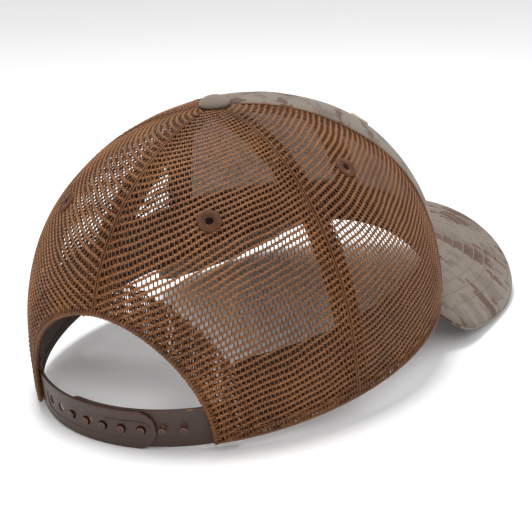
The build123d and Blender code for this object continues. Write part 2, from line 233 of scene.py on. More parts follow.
def section(z):
    """Centre y, half width and half length of the crown's ellipse at each height."""
    t = np.clip(np.asarray(z, float) / CROWN_HEIGHT, 0, 0.99995)
    half_width = RIM_HALF_WIDTH * profile(t, SIDE_POWER)
    front = APEX_Y - (APEX_Y + RIM_FRONT) * profile(t, FRONT_POWER)
    back = APEX_Y + (RIM_BACK - APEX_Y) * profile(t, BACK_POWER)
    return (front + back) / 2, half_width, (back - front) / 2


def surface(angle, z):
    """Point and outward normal of the plain crown at each angle and height."""
    angle = np.radians(np.asarray(angle, float))
    z = np.asarray(z, float)
    angle, z = np.broadcast_arrays(angle, z)
    ray_x, ray_y = -np.sin(angle), np.cos(angle)
    centre, half_width, half_length = section(z)
    offset = APEX_Y - centre
    a = (ray_x / half_width) ** 2 + (ray_y / half_length) ** 2
    b = 2 * ray_y * offset / half_length**2
    c = (offset / half_length) ** 2 - 1
    reach = (-b + np.sqrt(np.maximum(b * b - 4 * a * c, 0))) / (2 * a)
    point = np.stack([reach * ray_x, APEX_Y + reach * ray_y, z], -1)
    step = np.maximum((CROWN_HEIGHT - z) * 0.01, 1e-4)
    upper, lower = section(z + step), section(z - step)
    slope = [(u - d) / (2 * step) for u, d in zip(upper, lower)]
    dx, dy = point[..., 0], point[..., 1] - centre
    normal_z = -(dx**2) * slope[1] / half_width**3
    normal_z -= dy * slope[0] / half_length**2 + dy**2 * slope[2] / half_length**3
    normal = unit(np.stack([dx / half_width**2, dy / half_length**2, normal_z], -1))
    return point, normal


def relief(angle, z):
    """How far the sewn cloth stands off the plain crown: each panel swells between its seams."""
    folded = np.abs((np.asarray(angle, float) + 180) % 360 - 180)
    swell = np.zeros(np.broadcast(folded, z).shape)
    for low, high in zip(SEAMS[:-1], SEAMS[1:]):
        t = np.clip((folded - low) / (high - low), 0, 1)
        swell = np.maximum(swell, np.sin(np.pi * t) ** 0.75)
    ripple = RIPPLE * np.sin(np.radians(angle) * 9 + 0.6) * np.sin(np.asarray(z) * 0.11 + 1.1)
    reach = smooth(z, 10, 42) * (1 - smooth(z, 82, 95))
    return reach * (RELIEF * (swell - 0.4) + ripple)


def crown(angle, z, depth=0.0):
    """Point and normal of the sewn crown at a depth below its outside."""
    point, normal = surface(angle, z)
    lift = relief(angle, z) - depth
    return point + normal * np.asarray(lift)[..., None], normal


def height_steps(low, high, count):
    """Heights evenly spread along the crown's curve, as its turn from the rim to the top."""
    start = math.asin(max(low, 0) / CROWN_HEIGHT)
    end = math.asin(min(high / CROWN_HEIGHT, 0.99999))
    z = CROWN_HEIGHT * np.sin(np.linspace(start, end, count))
    z[0] = low
    return z


def beside(angle, z, offset):
    """The angle that lies an offset in mm to the side of a seam, at each height."""
    point, _ = surface(angle, z)
    reach = np.hypot(point[..., 0], point[..., 1] - APEX_Y)
    turn = np.degrees(np.arcsin(np.clip(offset / np.maximum(reach, 1e-3), -0.95, 0.95)))
    return angle + np.clip(turn, -29, 29)


def seam_distance(points, angle):
    """Signed distance from the upright seam plane, positive towards growing angles."""
    turn = math.radians(angle)
    return -points[..., 0] * math.cos(turn) - (points[..., 1] - APEX_Y) * math.sin(turn)


def arch_distance(points):
    """Distance outside the rear opening's half ellipse; large for the front half."""
    x, z = points[..., 0] / ARCH_HALF_WIDTH, np.maximum(points[..., 2], 0) / ARCH_HEIGHT
    ring = np.sqrt(x**2 + z**2) + 1e-9
    slope = np.sqrt((x / ARCH_HALF_WIDTH) ** 2 + (z / ARCH_HEIGHT) ** 2) / ring
    return np.where(points[..., 1] > APEX_Y, (ring - 1) / (slope + 1e-9), 1e3)


def bill_height(x, y, lift):
    """Height of the bill's curved sheet, a lift above its middle."""
    axis_z = BILL_ROOT_HEIGHT + BILL_RISE * (y + RIM_FRONT) - BILL_RADIUS
    return axis_z + np.sqrt(np.maximum((BILL_RADIUS + lift) ** 2 - x**2, 1))


def foot_height(angle, depth, lift):
    """Height at which the crown at this angle meets the bill, or 0 behind the bill."""
    z = np.zeros_like(np.asarray(angle, float))
    for _ in range(6):
        point, normal = surface(angle, z)
        point = point - normal * depth
        z = bill_height(point[..., 0], point[..., 1], lift)
        z = np.maximum(z, -4.0)
    ahead = smooth(-point[..., 1], 34, 39)
    return z * ahead


class Cloth:
    """Cloth coordinates of one panel in mm: across from its middle and up from the rim."""

    def __init__(self, low, high):
        self.low, self.high, self.middle = low, high, (low + high) / 2
        turns = np.linspace(0, math.radians(89.2), 361)
        self.z = CROWN_HEIGHT * np.sin(turns)
        line, _ = surface(self.middle, self.z)
        steps = np.linalg.norm(np.diff(line, axis=0), axis=1)
        self.height = np.concatenate([[0], np.cumsum(steps)])
        angles = np.linspace(low - 24, high + 24, 221)
        grid, _ = surface(angles[None, :], self.z[:, None])
        steps = np.linalg.norm(np.diff(grid, axis=1), axis=2)
        arc = np.concatenate([np.zeros((len(turns), 1)), np.cumsum(steps, axis=1)], axis=1)
        arc -= np.array([np.interp(self.middle, angles, row) for row in arc])[:, None]
        self.half = np.array([np.interp(high, angles, row) for row in arc])
        self.share = np.linspace(-1.7, 1.7, 181)
        self.table = np.array(
            [np.interp(self.share * half, row, angles) for half, row in zip(self.half, arc)]
        )
        self.width = self.half[0]

    def place(self, across, up):
        """Angle and height of cloth coordinates."""
        row = np.interp(up, self.height, np.arange(len(self.z)))
        z = np.interp(up, self.height, self.z)
        share = np.clip(across / np.interp(row, np.arange(len(self.z)), self.half), -1.7, 1.7)
        column = (share + 1.7) / 3.4 * (len(self.share) - 1)
        i = np.clip(row.astype(int), 0, len(self.z) - 2)
        j = np.clip(column.astype(int), 0, len(self.share) - 2)
        u, v = row - i, column - j
        low = self.table[i, j] * (1 - v) + self.table[i, j + 1] * v
        high = self.table[i + 1, j] * (1 - v) + self.table[i + 1, j + 1] * v
        return low * (1 - u) + high * u, z


# ---------------------------------------------------------------- mesh building


class Build:
    """Gathers points, faces and one map of a piece in the cap's frame."""

    def __init__(self):
        self.points, self.faces, self.maps, self.tones, self.count = [], [], [], [], 0

    def add(self, points, faces, uv, tone=0.5):
        """Faces are rows of point numbers, uv has a pair for each corner, tone is 0 to 1."""
        points = np.asarray(points, float).reshape(-1, 3)
        self.points.append(points)
        self.tones.append(np.broadcast_to(tone, len(points)))
        self.faces.append(np.asarray(faces) + self.count)
        self.maps.append(np.asarray(uv, float))
        self.count += len(points)

    def more_faces(self, start, faces, uv):
        """Faces between points that are there already, numbered from a start."""
        self.faces.append(np.asarray(faces) + start)
        self.maps.append(np.asarray(uv, float))

    def object(self, name, material, baked=False, mirror=False):
        """The piece's object. Baked pieces keep their map for baking, fitted to its square."""
        points = np.concatenate(self.points)
        if mirror:
            points = points * (-1, 1, 1)
        mesh = bpy.data.meshes.new(name)
        faces = [row for block in self.faces for row in block.tolist()]
        mesh.from_pydata(to_row(points).tolist(), [], faces)
        uv = np.concatenate([block.reshape(-1, 2) for block in self.maps])
        if baked:
            low = uv.min(0)
            uv = 0.002 + 0.996 * (uv - low) / (uv.max(0) - low)
        layer = mesh.uv_layers.new(name="OFBake" if baked else "Cloth")
        layer.uv.foreach_set("vector", uv.astype(np.float32).ravel())
        tone = mesh.attributes.new("tone", "FLOAT", "POINT")
        tone.data.foreach_set("value", np.concatenate(self.tones).astype(np.float32))
        work = bmesh.new()
        work.from_mesh(mesh)
        bmesh.ops.recalc_face_normals(work, faces=work.faces)
        work.to_mesh(mesh)
        work.free()
        mesh.shade_smooth()
        mesh.materials.append(material)
        made = bpy.data.objects.new(name, mesh)
        bpy.context.scene.collection.objects.link(made)
        return made


def add_piece(build, name, material, slot, *replaced, baked=False, mirror=False):
    """Makes a piece that moves with the cap and hides the CAD nodes it replaces."""
    piece = build.object(name, material, baked, mirror)
    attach(piece, "root")
    if replaced:
        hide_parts(*replaced)


def grid_faces(rows, columns, wrap=False):
    """Quads of a grid of points, numbered row by row."""
    i = np.arange(rows - 1)[:, None]
    j = np.arange(columns if wrap else columns - 1)[None, :]
    following = (j + 1) % columns
    quads = [i * columns + j, (i + 1) * columns + j]
    quads += [(i + 1) * columns + following, i * columns + following]
    return np.stack(np.broadcast_arrays(*quads), -1).reshape(-1, 4)


def shell(build, outer, inner, uv):
    """A closed sheet between two grids of points."""
    rows, columns = outer.shape[:2]
    front = grid_faces(rows, columns)
    flat = uv.reshape(-1, 2)
    size = rows * columns
    border = [(0, j) for j in range(columns)] + [(i, columns - 1) for i in range(1, rows)]
    border += [(rows - 1, j) for j in range(columns - 2, -1, -1)]
    border += [(i, 0) for i in range(rows - 2, 0, -1)]
    ring = np.array([i * columns + j for i, j in border])
    after = np.roll(ring, -1)
    sides = np.stack([ring, after, after + size, ring + size], -1)
    faces = np.concatenate([front, front[:, ::-1] + size, sides])
    points = np.concatenate([outer.reshape(-1, 3), inner.reshape(-1, 3)])
    build.add(points, faces, np.concatenate([flat, flat])[faces])


def tubes(build, paths, normals, widths, heights, sides, origin, tone=0.5):
    """Threads of the same number of points each, with flat ends. Origin places each in the map."""
    paths, normals = np.asarray(paths, float), np.asarray(normals, float)
    count, rings = paths.shape[:2]
    along = unit(np.gradient(paths, axis=1))
    across = unit(np.cross(along, normals))
    out = np.cross(across, along)
    turn = 2 * np.pi * (np.arange(sides) + 0.5) / sides
    widths = np.broadcast_to(widths, (count, rings))[..., None, None] / 2
    heights = np.broadcast_to(heights, (count, rings))[..., None, None] / 2
    around = across[:, :, None] * (np.cos(turn)[None, None, :, None] * widths)
    around = around + out[:, :, None] * (np.sin(turn)[None, None, :, None] * heights)
    points = paths[:, :, None] + around
    quads = grid_faces(rings, sides, wrap=True)
    starts = (np.arange(count) * rings * sides)[:, None, None]
    faces = (quads[None] + starts).reshape(-1, 4)
    steps = np.linalg.norm(np.diff(paths, axis=1), axis=2)
    run = np.concatenate([np.zeros((count, 1)), np.cumsum(steps, axis=1)], axis=1)
    i, j = np.meshgrid(np.arange(rings - 1), np.arange(sides), indexing="ij")
    ring = np.stack([i, i + 1, i + 1, i], -1).reshape(-1, 4)
    side = np.stack([j, j, j + 1, j + 1], -1).reshape(-1, 4)
    girth = (widths[:, 0, 0, 0] + heights[:, 0, 0, 0]) * np.pi / sides
    u = origin[:, 0, None, None] + run[:, ring]
    v = origin[:, 1, None, None] + side[None] * girth[:, None, None]
    tone = np.broadcast_to(np.asarray(tone)[..., None], (count, rings, sides)).reshape(-1)
    build.add(points, faces, np.stack([u, v], -1).reshape(-1, 4, 2), tone)
    ends = np.concatenate([np.arange(sides)[::-1], np.arange(sides) + (rings - 1) * sides])
    caps = (ends.reshape(1, 2, sides) + starts).reshape(-1, sides)
    corner = np.stack([np.cos(turn), np.sin(turn)], -1) * 0.2
    spots = origin[:, None, None, :] + corner[None, None]
    spots = np.broadcast_to(spots, (count, 2, sides, 2)).reshape(-1, sides, 2)
    build.more_faces(build.count - count * rings * sides, caps, spots)


def resample(path, normals, stations):
    """Points and normals at distances along a path."""
    steps = np.linalg.norm(np.diff(path, axis=0), axis=1)
    run = np.concatenate([[0], np.cumsum(steps)])
    at = [np.interp(stations, run, path[:, k]) for k in range(3)]
    lean = [np.interp(stations, run, normals[:, k]) for k in range(3)]
    return np.stack(at, -1), unit(np.stack(lean, -1))


def path_length(path):
    """A path's length in mm."""
    return float(np.linalg.norm(np.diff(path, axis=0), axis=1).sum())


def cord_along(build, path, normals, width, height, step=1.0, sides=8):
    """One thread or piped edge that follows a whole path."""
    count = max(int(path_length(path) / step), 2)
    points, lean = resample(path, normals, np.linspace(0, path_length(path), count))
    origin = np.array([[0, 3.0 * len(build.points)]])
    tubes(build, points[None], lean[None], width, height, sides, origin)


def stitch_row(build, path, normals, lift, length, gap, width):
    """A row of separate stitches, each a short bowed thread whose ends go into the cloth."""
    pitch = length + gap
    count = int((path_length(path) - gap) / pitch)
    if count < 1:
        return
    starts = gap + pitch * np.arange(count)
    share = np.linspace(0, 1, 6)
    stations = starts[:, None] + share[None] * length
    points, lean = resample(path, normals, stations.ravel())
    points, lean = points.reshape(count, 6, 3), lean.reshape(count, 6, 3)
    bow = lift * np.sin(np.pi * share) ** 0.6 - 0.12
    points = points + lean * bow[None, :, None]
    thick = width * (0.72 + 0.28 * np.sin(np.pi * share))
    origin = np.stack([starts, np.full(count, 2.0 * len(build.points))], -1)
    tubes(build, points, lean, thick[None], thick[None] * 0.8, 6, origin)


def seam_line(angle, offset, depth, low, high, count=140):
    """A line on the crown at an offset beside a seam."""
    z = height_steps(low, high, count)
    return crown(beside(angle, z, offset), z, depth)


def arch_line(margin, depth, count=160):
    """Half of the rear opening's outline, a margin outside it, from the rim to the back seam."""
    turn = np.linspace(0, np.pi / 2, count)
    x = (ARCH_HALF_WIDTH + margin) * np.cos(turn)
    z = (ARCH_HEIGHT + margin) * np.sin(turn)
    centre, half_width, half_length = section(z)
    y = centre + half_length * np.sqrt(np.clip(1 - (x / half_width) ** 2, 0, 1))
    angle = np.degrees(np.arctan2(x, y - APEX_Y))
    return crown(-angle, z, depth)


# ---------------------------------------------------------------- materials


class Shader:
    """Builds one procedural material."""

    def __init__(self, name):
        self.material = bpy.data.materials.new(name)
        self.material.use_nodes = True
        self.tree = self.material.node_tree
        self.surface = self.tree.nodes["Principled BSDF"]

    def node(self, kind, inputs=(), **settings):
        made = self.tree.nodes.new("ShaderNode" + kind)
        for key, value in settings.items():
            setattr(made, key, value)
        for key, value in dict(inputs).items():
            self.put(made.inputs[key], value)
        return made

    def put(self, socket, value):
        if isinstance(value, bpy.types.NodeSocket):
            self.tree.links.new(value, socket)
        else:
            socket.default_value = value

    def set(self, **values):
        for key, value in values.items():
            self.put(self.surface.inputs[key.replace("_", " ")], value)

    def place(self, map_name=None):
        if map_name:
            return self.node("UVMap", uv_map=map_name).outputs[0]
        return self.node("TexCoord").outputs["Object"]

    def math(self, operation, a, b=0.0, c=0.0, clamp=False):
        made = self.node("Math", {0: a, 1: b, 2: c}, operation=operation, use_clamp=clamp)
        return made.outputs[0]

    def noise(self, vector, scale, detail=2.0, roughness=0.5):
        values = {"Vector": vector, "Scale": scale, "Detail": detail, "Roughness": roughness}
        return self.node("TexNoise", values).outputs["Fac"]

    def mix(self, share, a, b):
        made = self.node("Mix", data_type="RGBA")
        self.put(made.inputs[0], share)
        self.put(made.inputs[6], a)
        self.put(made.inputs[7], b)
        return made.outputs[2]

    def stretch(self, vector, scale, offset=(0, 0, 0)):
        values = {"Vector": vector, "Scale": scale, "Location": offset}
        return self.node("Mapping", values).outputs[0]

    def bump(self, height, distance, strength=1.0, normal=None):
        values = {"Height": height, "Distance": distance, "Strength": strength}
        made = self.node("Bump", values)
        if normal is not None:
            self.put(made.inputs["Normal"], normal)
        return made.outputs[0]


def colour(red, green, blue):
    """An sRGB colour of 0 to 255 as linear values."""
    parts = []
    for value in (red, green, blue):
        s = value / 255
        parts.append(s / 12.92 if s <= 0.04045 else ((s + 0.055) / 1.055) ** 2.4)
    return (*parts, 1.0)


def twill_height(s, vector, pitch):
    """Fine slanting ribs with a crossing weave, as a height from 0 to 1."""
    apart = s.node("SeparateXYZ", {0: vector})
    u, v = apart.outputs[0], apart.outputs[1]
    slant = s.math("MULTIPLY", s.math("ADD", u, v), 2 * math.pi / pitch)
    ribs = s.math("MULTIPLY_ADD", s.math("SINE", slant), 0.5, 0.5)
    cross = s.math("MULTIPLY", s.math("SUBTRACT", u, v), 4 * math.pi / pitch)
    steps = s.math("MULTIPLY_ADD", s.math("SINE", cross), 0.2, 0.8)
    return s.math("MULTIPLY", ribs, steps)


def camo_twill(name, printed=1.0):
    """Blocky desert camouflage printed on cotton twill, in cloth millimetres."""
    s = Shader(name)
    cloth = s.place("Cloth")

    def blocks(size, offset, scale, detail=1.5):
        moved = s.node("VectorMath", {0: cloth, 1: offset}, operation="ADD").outputs[0]
        snapped = s.node("VectorMath", {0: moved, 1: (*size, 1.0)}, operation="SNAP").outputs[0]
        return s.noise(s.stretch(snapped, (*scale, 1.0)), 1.0, detail, 0.55)

    def above(value, threshold):
        return s.math("MULTIPLY", s.math("GREATER_THAN", value, threshold), printed)

    base = s.mix(s.noise(cloth, 0.05, 3), colour(129, 117, 105), colour(120, 108, 96))
    wide = above(blocks((3.6, 2.4), (31, 7, 0), (0.04, 0.07)), 0.56)
    base = s.mix(wide, base, colour(111, 98, 87))
    small = above(blocks((3.6, 1.2), (5, 60, 0), (0.09, 0.11), 2.5), 0.6)
    base = s.mix(small, base, colour(105, 91, 80))
    blotch = blocks((3.6, 1.2), (14, -23, 0), (0.026, 0.06), 2.2)
    base = s.mix(above(blotch, 0.575), base, colour(92, 64, 49))
    base = s.mix(above(blotch, 0.65), base, colour(80, 54, 41))
    weave = twill_height(s, cloth, 0.62)
    fuzz = s.noise(cloth, 1.6, 4, 0.7)
    shade = s.math("MULTIPLY_ADD", weave, 0.16, 0.86)
    shade = s.math("MULTIPLY", shade, s.math("MULTIPLY_ADD", fuzz, 0.22, 0.88))
    tone = s.node("Mix", data_type="RGBA", blend_type="MULTIPLY")
    s.put(tone.inputs[0], 1.0)
    s.put(tone.inputs[6], base)
    s.put(tone.inputs[7], s.node("CombineXYZ", {0: shade, 1: shade, 2: shade}).outputs[0])
    height = s.math("ADD", weave, s.math("MULTIPLY", fuzz, 0.8))
    rough = s.math("MULTIPLY_ADD", fuzz, 0.12, 0.8)
    s.set(Base_Color=tone.outputs[2], Roughness=rough, Sheen_Weight=0.18, Sheen_Roughness=0.4)
    s.set(Normal=s.bump(height, 0.00016, 0.55), Specular_IOR_Level=0.25)
    return s.material


def yarn(name, dark, light, roughness=0.62, sheen=0.15, fibre=900.0):
    """Spun or filament thread: soft colour changes along its length and fine fibres."""
    s = Shader(name)
    place = s.place()
    patch = s.noise(place, 45, 3, 0.6)
    fleck = s.noise(place, fibre, 3, 0.7)
    # The tone attribute pushes the colour to the light end: painted highlight on the net's beads, painted
    # shade on its links, painted highlight and shade across the eyelets' satin stitches, and random
    # variation on the overlock and whip threads.
    tone = s.node("Attribute", attribute_name="tone").outputs["Fac"]
    share = s.math("MULTIPLY_ADD", patch, 0.8, s.math("MULTIPLY_ADD", fleck, 0.9, -0.85))
    share = s.math("MULTIPLY_ADD", tone, 1.0, share, True)
    rough = s.math("MULTIPLY_ADD", fleck, 0.2, roughness - 0.1)
    s.set(Base_Color=s.mix(share, dark, light), Roughness=rough, Sheen_Weight=sheen)
    s.set(Sheen_Roughness=0.35, Normal=s.bump(fleck, 0.00012, 0.6), Specular_IOR_Level=0.3)
    return s.material


def woven(name, dark, light, pitch, roughness=0.85, distance=0.00025):
    """Plain ribbed cloth in cloth millimetres."""
    s = Shader(name)
    cloth = s.place("Cloth")
    weave = twill_height(s, cloth, pitch)
    fuzz = s.noise(cloth, 1.3, 4, 0.65)
    patch = s.noise(cloth, 0.06, 3)
    share = s.math("MULTIPLY_ADD", weave, 0.6, s.math("MULTIPLY_ADD", fuzz, 0.8, -0.35))
    share = s.math("ADD", share, s.math("MULTIPLY_ADD", patch, 0.4, -0.2), clamp=True)
    rough = s.math("MULTIPLY_ADD", fuzz, 0.1, roughness - 0.05)
    s.set(Base_Color=s.mix(share, dark, light), Roughness=rough, Sheen_Weight=0.2)
    height = s.math("ADD", weave, s.math("MULTIPLY", fuzz, 0.7))
    s.set(Sheen_Roughness=0.5, Normal=s.bump(height, distance, 0.7), Specular_IOR_Level=0.2)
    return s.material


def stiff_backing():
    """Off-white buckram: a coarse open lattice with stiffened threads."""
    s = Shader("buckram")
    apart = s.node("SeparateXYZ", {0: s.place("Cloth")})
    lines = []
    for axis in (0, 1):
        wave = s.math("SINE", s.math("MULTIPLY", apart.outputs[axis], 2 * math.pi / 1.1))
        lines.append(s.math("MULTIPLY_ADD", wave, 0.5, 0.5))
    thread = s.math("MAXIMUM", lines[0], lines[1])
    fuzz = s.noise(s.place("Cloth"), 0.7, 4)
    share = s.math("MULTIPLY", thread, s.math("MULTIPLY_ADD", fuzz, 0.6, 0.6), clamp=True)
    tint = s.mix(share, colour(196, 194, 200), colour(240, 239, 242))
    s.set(Base_Color=tint, Roughness=s.math("MULTIPLY_ADD", fuzz, 0.2, 0.6))
    s.set(Normal=s.bump(thread, 0.0003, 0.6), Specular_IOR_Level=0.3)
    return s.material


def strap_plastic():
    """Soft moulded plastic with a fine satin grain, its sharp edges painted lighter as a painted highlight.
    """
    s = Shader("strap_plastic")
    place = s.place()
    grain = s.noise(place, 2600, 2, 0.6)
    patch = s.noise(place, 60, 3)
    edge = s.node("NewGeometry").outputs["Pointiness"]
    # Painted highlight: sharp edges, found by pointiness, are lightened towards orange-brown.
    edge_highlight = s.math("MULTIPLY_ADD", edge, 14.0, -7.35, clamp=True)
    base = s.mix(patch, colour(52, 34, 26), colour(64, 43, 34))
    base = s.mix(s.math("MULTIPLY", edge_highlight, 0.75), base, colour(134, 90, 60))
    rough = s.math("MULTIPLY_ADD", grain, 0.16, s.math("MULTIPLY_ADD", patch, 0.1, 0.34))
    s.set(Base_Color=base, Roughness=rough, Specular_IOR_Level=0.5)
    s.set(Normal=s.bump(grain, 0.00004, 0.5))
    return s.material


def board_plastic():
    s = Shader("bill_board")
    place = s.place()
    grain = s.noise(place, 700, 4, 0.7)
    tint = s.mix(grain, colour(214, 212, 205), colour(232, 230, 224))
    s.set(Base_Color=tint, Roughness=s.math("MULTIPLY_ADD", grain, 0.2, 0.5))
    s.set(Normal=s.bump(grain, 0.0001, 0.4))
    return s.material


def stamped_metal():
    s = Shader("button_metal")
    place = s.place()
    streak = s.noise(s.stretch(place, (1.0, 8.0, 1.0)), 500, 4, 0.6)
    tint = s.mix(streak, colour(168, 168, 172), colour(196, 196, 198))
    s.set(Base_Color=tint, Metallic=1.0, Roughness=s.math("MULTIPLY_ADD", streak, 0.25, 0.3))
    s.set(Normal=s.bump(streak, 0.00005, 0.4))
    return s.material


def floor_material():
    s = Shader("floor")
    soft = s.noise(s.place(), 3.0, 3)
    s.set(Base_Color=s.mix(soft, colour(246, 246, 246), colour(250, 250, 250)), Roughness=0.9)
    s.set(Specular_IOR_Level=0.1)
    return s.material


CAMO = camo_twill("camo_twill")
PLAIN = camo_twill("plain_twill", 0.0)
NET = yarn("net_thread", colour(44, 22, 10), colour(152, 98, 52), 0.46, 0.02)
NET_SEAM = yarn("net_seam_thread", colour(52, 27, 12), colour(128, 80, 40), 0.5, 0.02)
# A darker copy of the net's yarn for the folded layers inside the cap: painted shade.
NET_FOLD_SHADED = yarn("net_fold_shaded", colour(42, 22, 11), colour(98, 60, 31), 0.6, 0.02)
TAN_THREAD = yarn("tan_thread", colour(122, 111, 96), colour(164, 152, 134), 0.6, 0.1)
BROWN_EYELET = yarn("brown_satin_stitch", colour(32, 16, 8), colour(98, 58, 31), 0.5, 0.02, 600)
TAN_EYELET = yarn("tan_satin_stitch", colour(116, 104, 88), colour(178, 164, 144), 0.5, 0.1, 600)
TAPE = woven("seam_tape", colour(58, 34, 24), colour(92, 58, 40), 0.8)
BAND = woven("sweatband_twill", colour(56, 36, 28), colour(84, 58, 46), 0.7)
BUCKRAM = stiff_backing()
STRAP = strap_plastic()
METAL = stamped_metal()
BOARD = board_plastic()


# ---------------------------------------------------------------- net panels


def net_slope(cloth):
    """How far the rows climb towards the front, as a height over the distance across."""
    across = np.linspace(-cloth.width * 1.7, cloth.width * 1.7, 341)
    share = across / cloth.width
    if cloth.low == 0.0:
        degrees = np.interp(share, [-1, -0.5, -0.1, 0.25, 1], [24, 24, 21, 13, 11])
    else:
        degrees = np.interp(share, [-1, 0, 1], [11, 13, 9])
    climb = np.concatenate([[0], np.cumsum(np.tan(np.radians(degrees[1:])) * np.diff(across))])
    return across, climb - np.interp(0, across, climb)


def net_margin(points, low, high, kind):
    """How far inside its cut outline a net panel's point lies."""
    margin = np.minimum(seam_distance(points, low), -seam_distance(points, high)) - SEAM_CLEARANCE
    margin = np.minimum(margin, points[..., 2] - RIM_CLEARANCE)
    spot, _ = surface(*EYELETS[kind])
    margin = np.minimum(margin, np.linalg.norm(points - spot, axis=-1) - EYELET_CUT)
    reach = np.hypot(points[..., 0], points[..., 1] - APEX_Y)
    margin = np.minimum(margin, reach - BUTTON_CUT)
    if kind == "rear":
        return np.minimum(margin, arch_distance(points) - RIM_CLEARANCE)
    top = bill_height(points[..., 0], points[..., 1], HALF_BILL)
    above_bill = points[..., 2] - top - BILL_CLEARANCE
    return np.where(points[..., 1] < BILL_CUT_Y, np.minimum(margin, above_bill), margin)


def lattice(build, cloth, margin_of, depth, phase=(0.0, 0.0), flip=1, thin=1.0):
    """Knitted rows and the short links between them, cut to a panel's outline."""
    table_across, table_climb = net_slope(cloth)
    reach = cloth.width * 1.15
    top = cloth.height[-1]

    def raised(across, up):
        ease = 0.78 + 0.22 * smooth(up, 0, 45) - 0.45 * smooth(up, 70, 135)
        wave = 0.45 * np.sin(across * 0.13 + up * 0.045 + 1.0) * np.sin(up * 0.06 + 0.4)
        wave = wave + 0.16 * np.sin(across * 0.34 - up * 0.11)
        wave = wave + 0.2 * np.sin(across * 0.07 * flip + up * 0.19)
        return up + flip * np.interp(across, table_across, table_climb) * ease + wave

    def locate(across, up):
        angle, z = cloth.place(across, raised(across, up))
        plain, _ = surface(angle, z)
        point, normal = crown(angle, z, depth)
        return plain, point, normal

    first = int(-cloth.width * 0.6 / ROW_PITCH)
    rows = range(first, int((top + cloth.width * 0.6) / ROW_PITCH))
    across = np.arange(-reach, reach, COLUMN_PITCH / 4) + phase[0]
    turn = 2 * np.pi * (across - phase[0] + reach) / COLUMN_PITCH
    for k in rows:
        up = k * ROW_PITCH + phase[1] - ROW_ZIGZAG * np.cos(turn + np.pi * (k % 2))
        jitter = random.normal(0, ROW_JITTER, len(across))
        jitter = jitter + 0.06 * np.sin(across * 0.9 + k * 1.7)
        inside = (raised(across, up) > -1) & (raised(across, up) < top - 0.5)
        if inside.sum() < 3:
            continue
        plain, point, normal = locate(across, up + jitter)
        margin = np.where(inside, margin_of(plain), -1)
        beads = np.cos(2 * turn)
        bulge = 1 + BEAD_SWELL * beads
        # Painted highlight: each row's tone is lighter at its beads, with a little random variation.
        tone = 0.6 + 0.3 * beads + random.normal(0, 0.08, len(across))
        keep = margin > 0
        edges = np.flatnonzero(np.diff(np.concatenate([[0], keep.astype(int), [0]])))
        for start, end in zip(edges[::2], edges[1::2]):
            if end - start < 3:
                continue
            line, lean, wide = point[start:end].copy(), normal[start:end], bulge[start:end]
            for at, beyond in ((0, start - 1), (-1, end)):
                if 0 <= beyond < len(across) and inside[beyond]:
                    near = start if at == 0 else end - 1
                    share = margin[near] / (margin[near] - margin[beyond] + 1e-9)
                    line[at] = point[near] + (point[beyond] - point[near]) * share
            origin = np.array([[across[start], (k - first) * ROW_PITCH]])
            widths, heights = ROW_WIDTH * wide * thin, ROW_HEIGHT * wide * thin
            row = line[None], lean[None], widths[None], heights[None]
            tubes(build, *row, ROW_SIDES, origin, tone[None, start:end])
    offset = 2 * ROW_PITCH * len(rows)
    share = np.linspace(0, 1, 4)
    for k in rows[:-1]:
        spots = np.arange(-reach, reach, COLUMN_PITCH) + COLUMN_PITCH / 2 * (k % 2)
        spots = spots + phase[0] + random.normal(0, 0.05, len(spots))
        sway = random.normal(0, 0.06, (len(spots), 1)) * np.sin(np.pi * share)
        up = (k + share) * ROW_PITCH + phase[1]
        spread = np.broadcast_to(up, (len(spots), 4))
        height = raised(spots, spread[:, 1])
        near = (height > -1) & (height < top - 1)
        if not near.any():
            continue
        spots = spots[near]
        plain, point, normal = locate(spots[:, None] + sway[near], spread[near])
        point = point - normal * LINK_SINK
        kept = (margin_of(plain) > -0.15).sum(1) >= 3
        widths = LINK_WIDTH * thin * LINK_FLARE[None]
        level = np.full(kept.sum(), offset + (k - first) * ROW_PITCH)
        origin = np.stack([spots[kept], level], -1)
        if kept.any():
            links = point[kept], normal[kept], widths, widths * LINK_FLATNESS
            # The links carry their painted shade tones.
            tubes(build, *links, LINK_SIDES, origin, LINK_SHADE_TONES[None])


def net_panel(low, high, kind):
    """One panel of knitted net, and its seam and rim allowances folded inside."""
    cloth = Cloth(low, high)

    def inside(points):
        return net_margin(points, low, high, kind)

    def fold(points):
        nearest = np.minimum(seam_distance(points, low), -seam_distance(points, high))
        margin = np.minimum(inside(points), SEAM_FOLD - nearest)
        rim = np.minimum(inside(points), RIM_FOLD - points[..., 2])
        return np.maximum(margin, rim)

    build, allowance = Build(), Build()
    lattice(build, cloth, inside, NET_DEPTH)
    lattice(allowance, cloth, fold, FOLD_DEPTH, (0.8, 1.1), -1, 0.9)
    return build, allowance


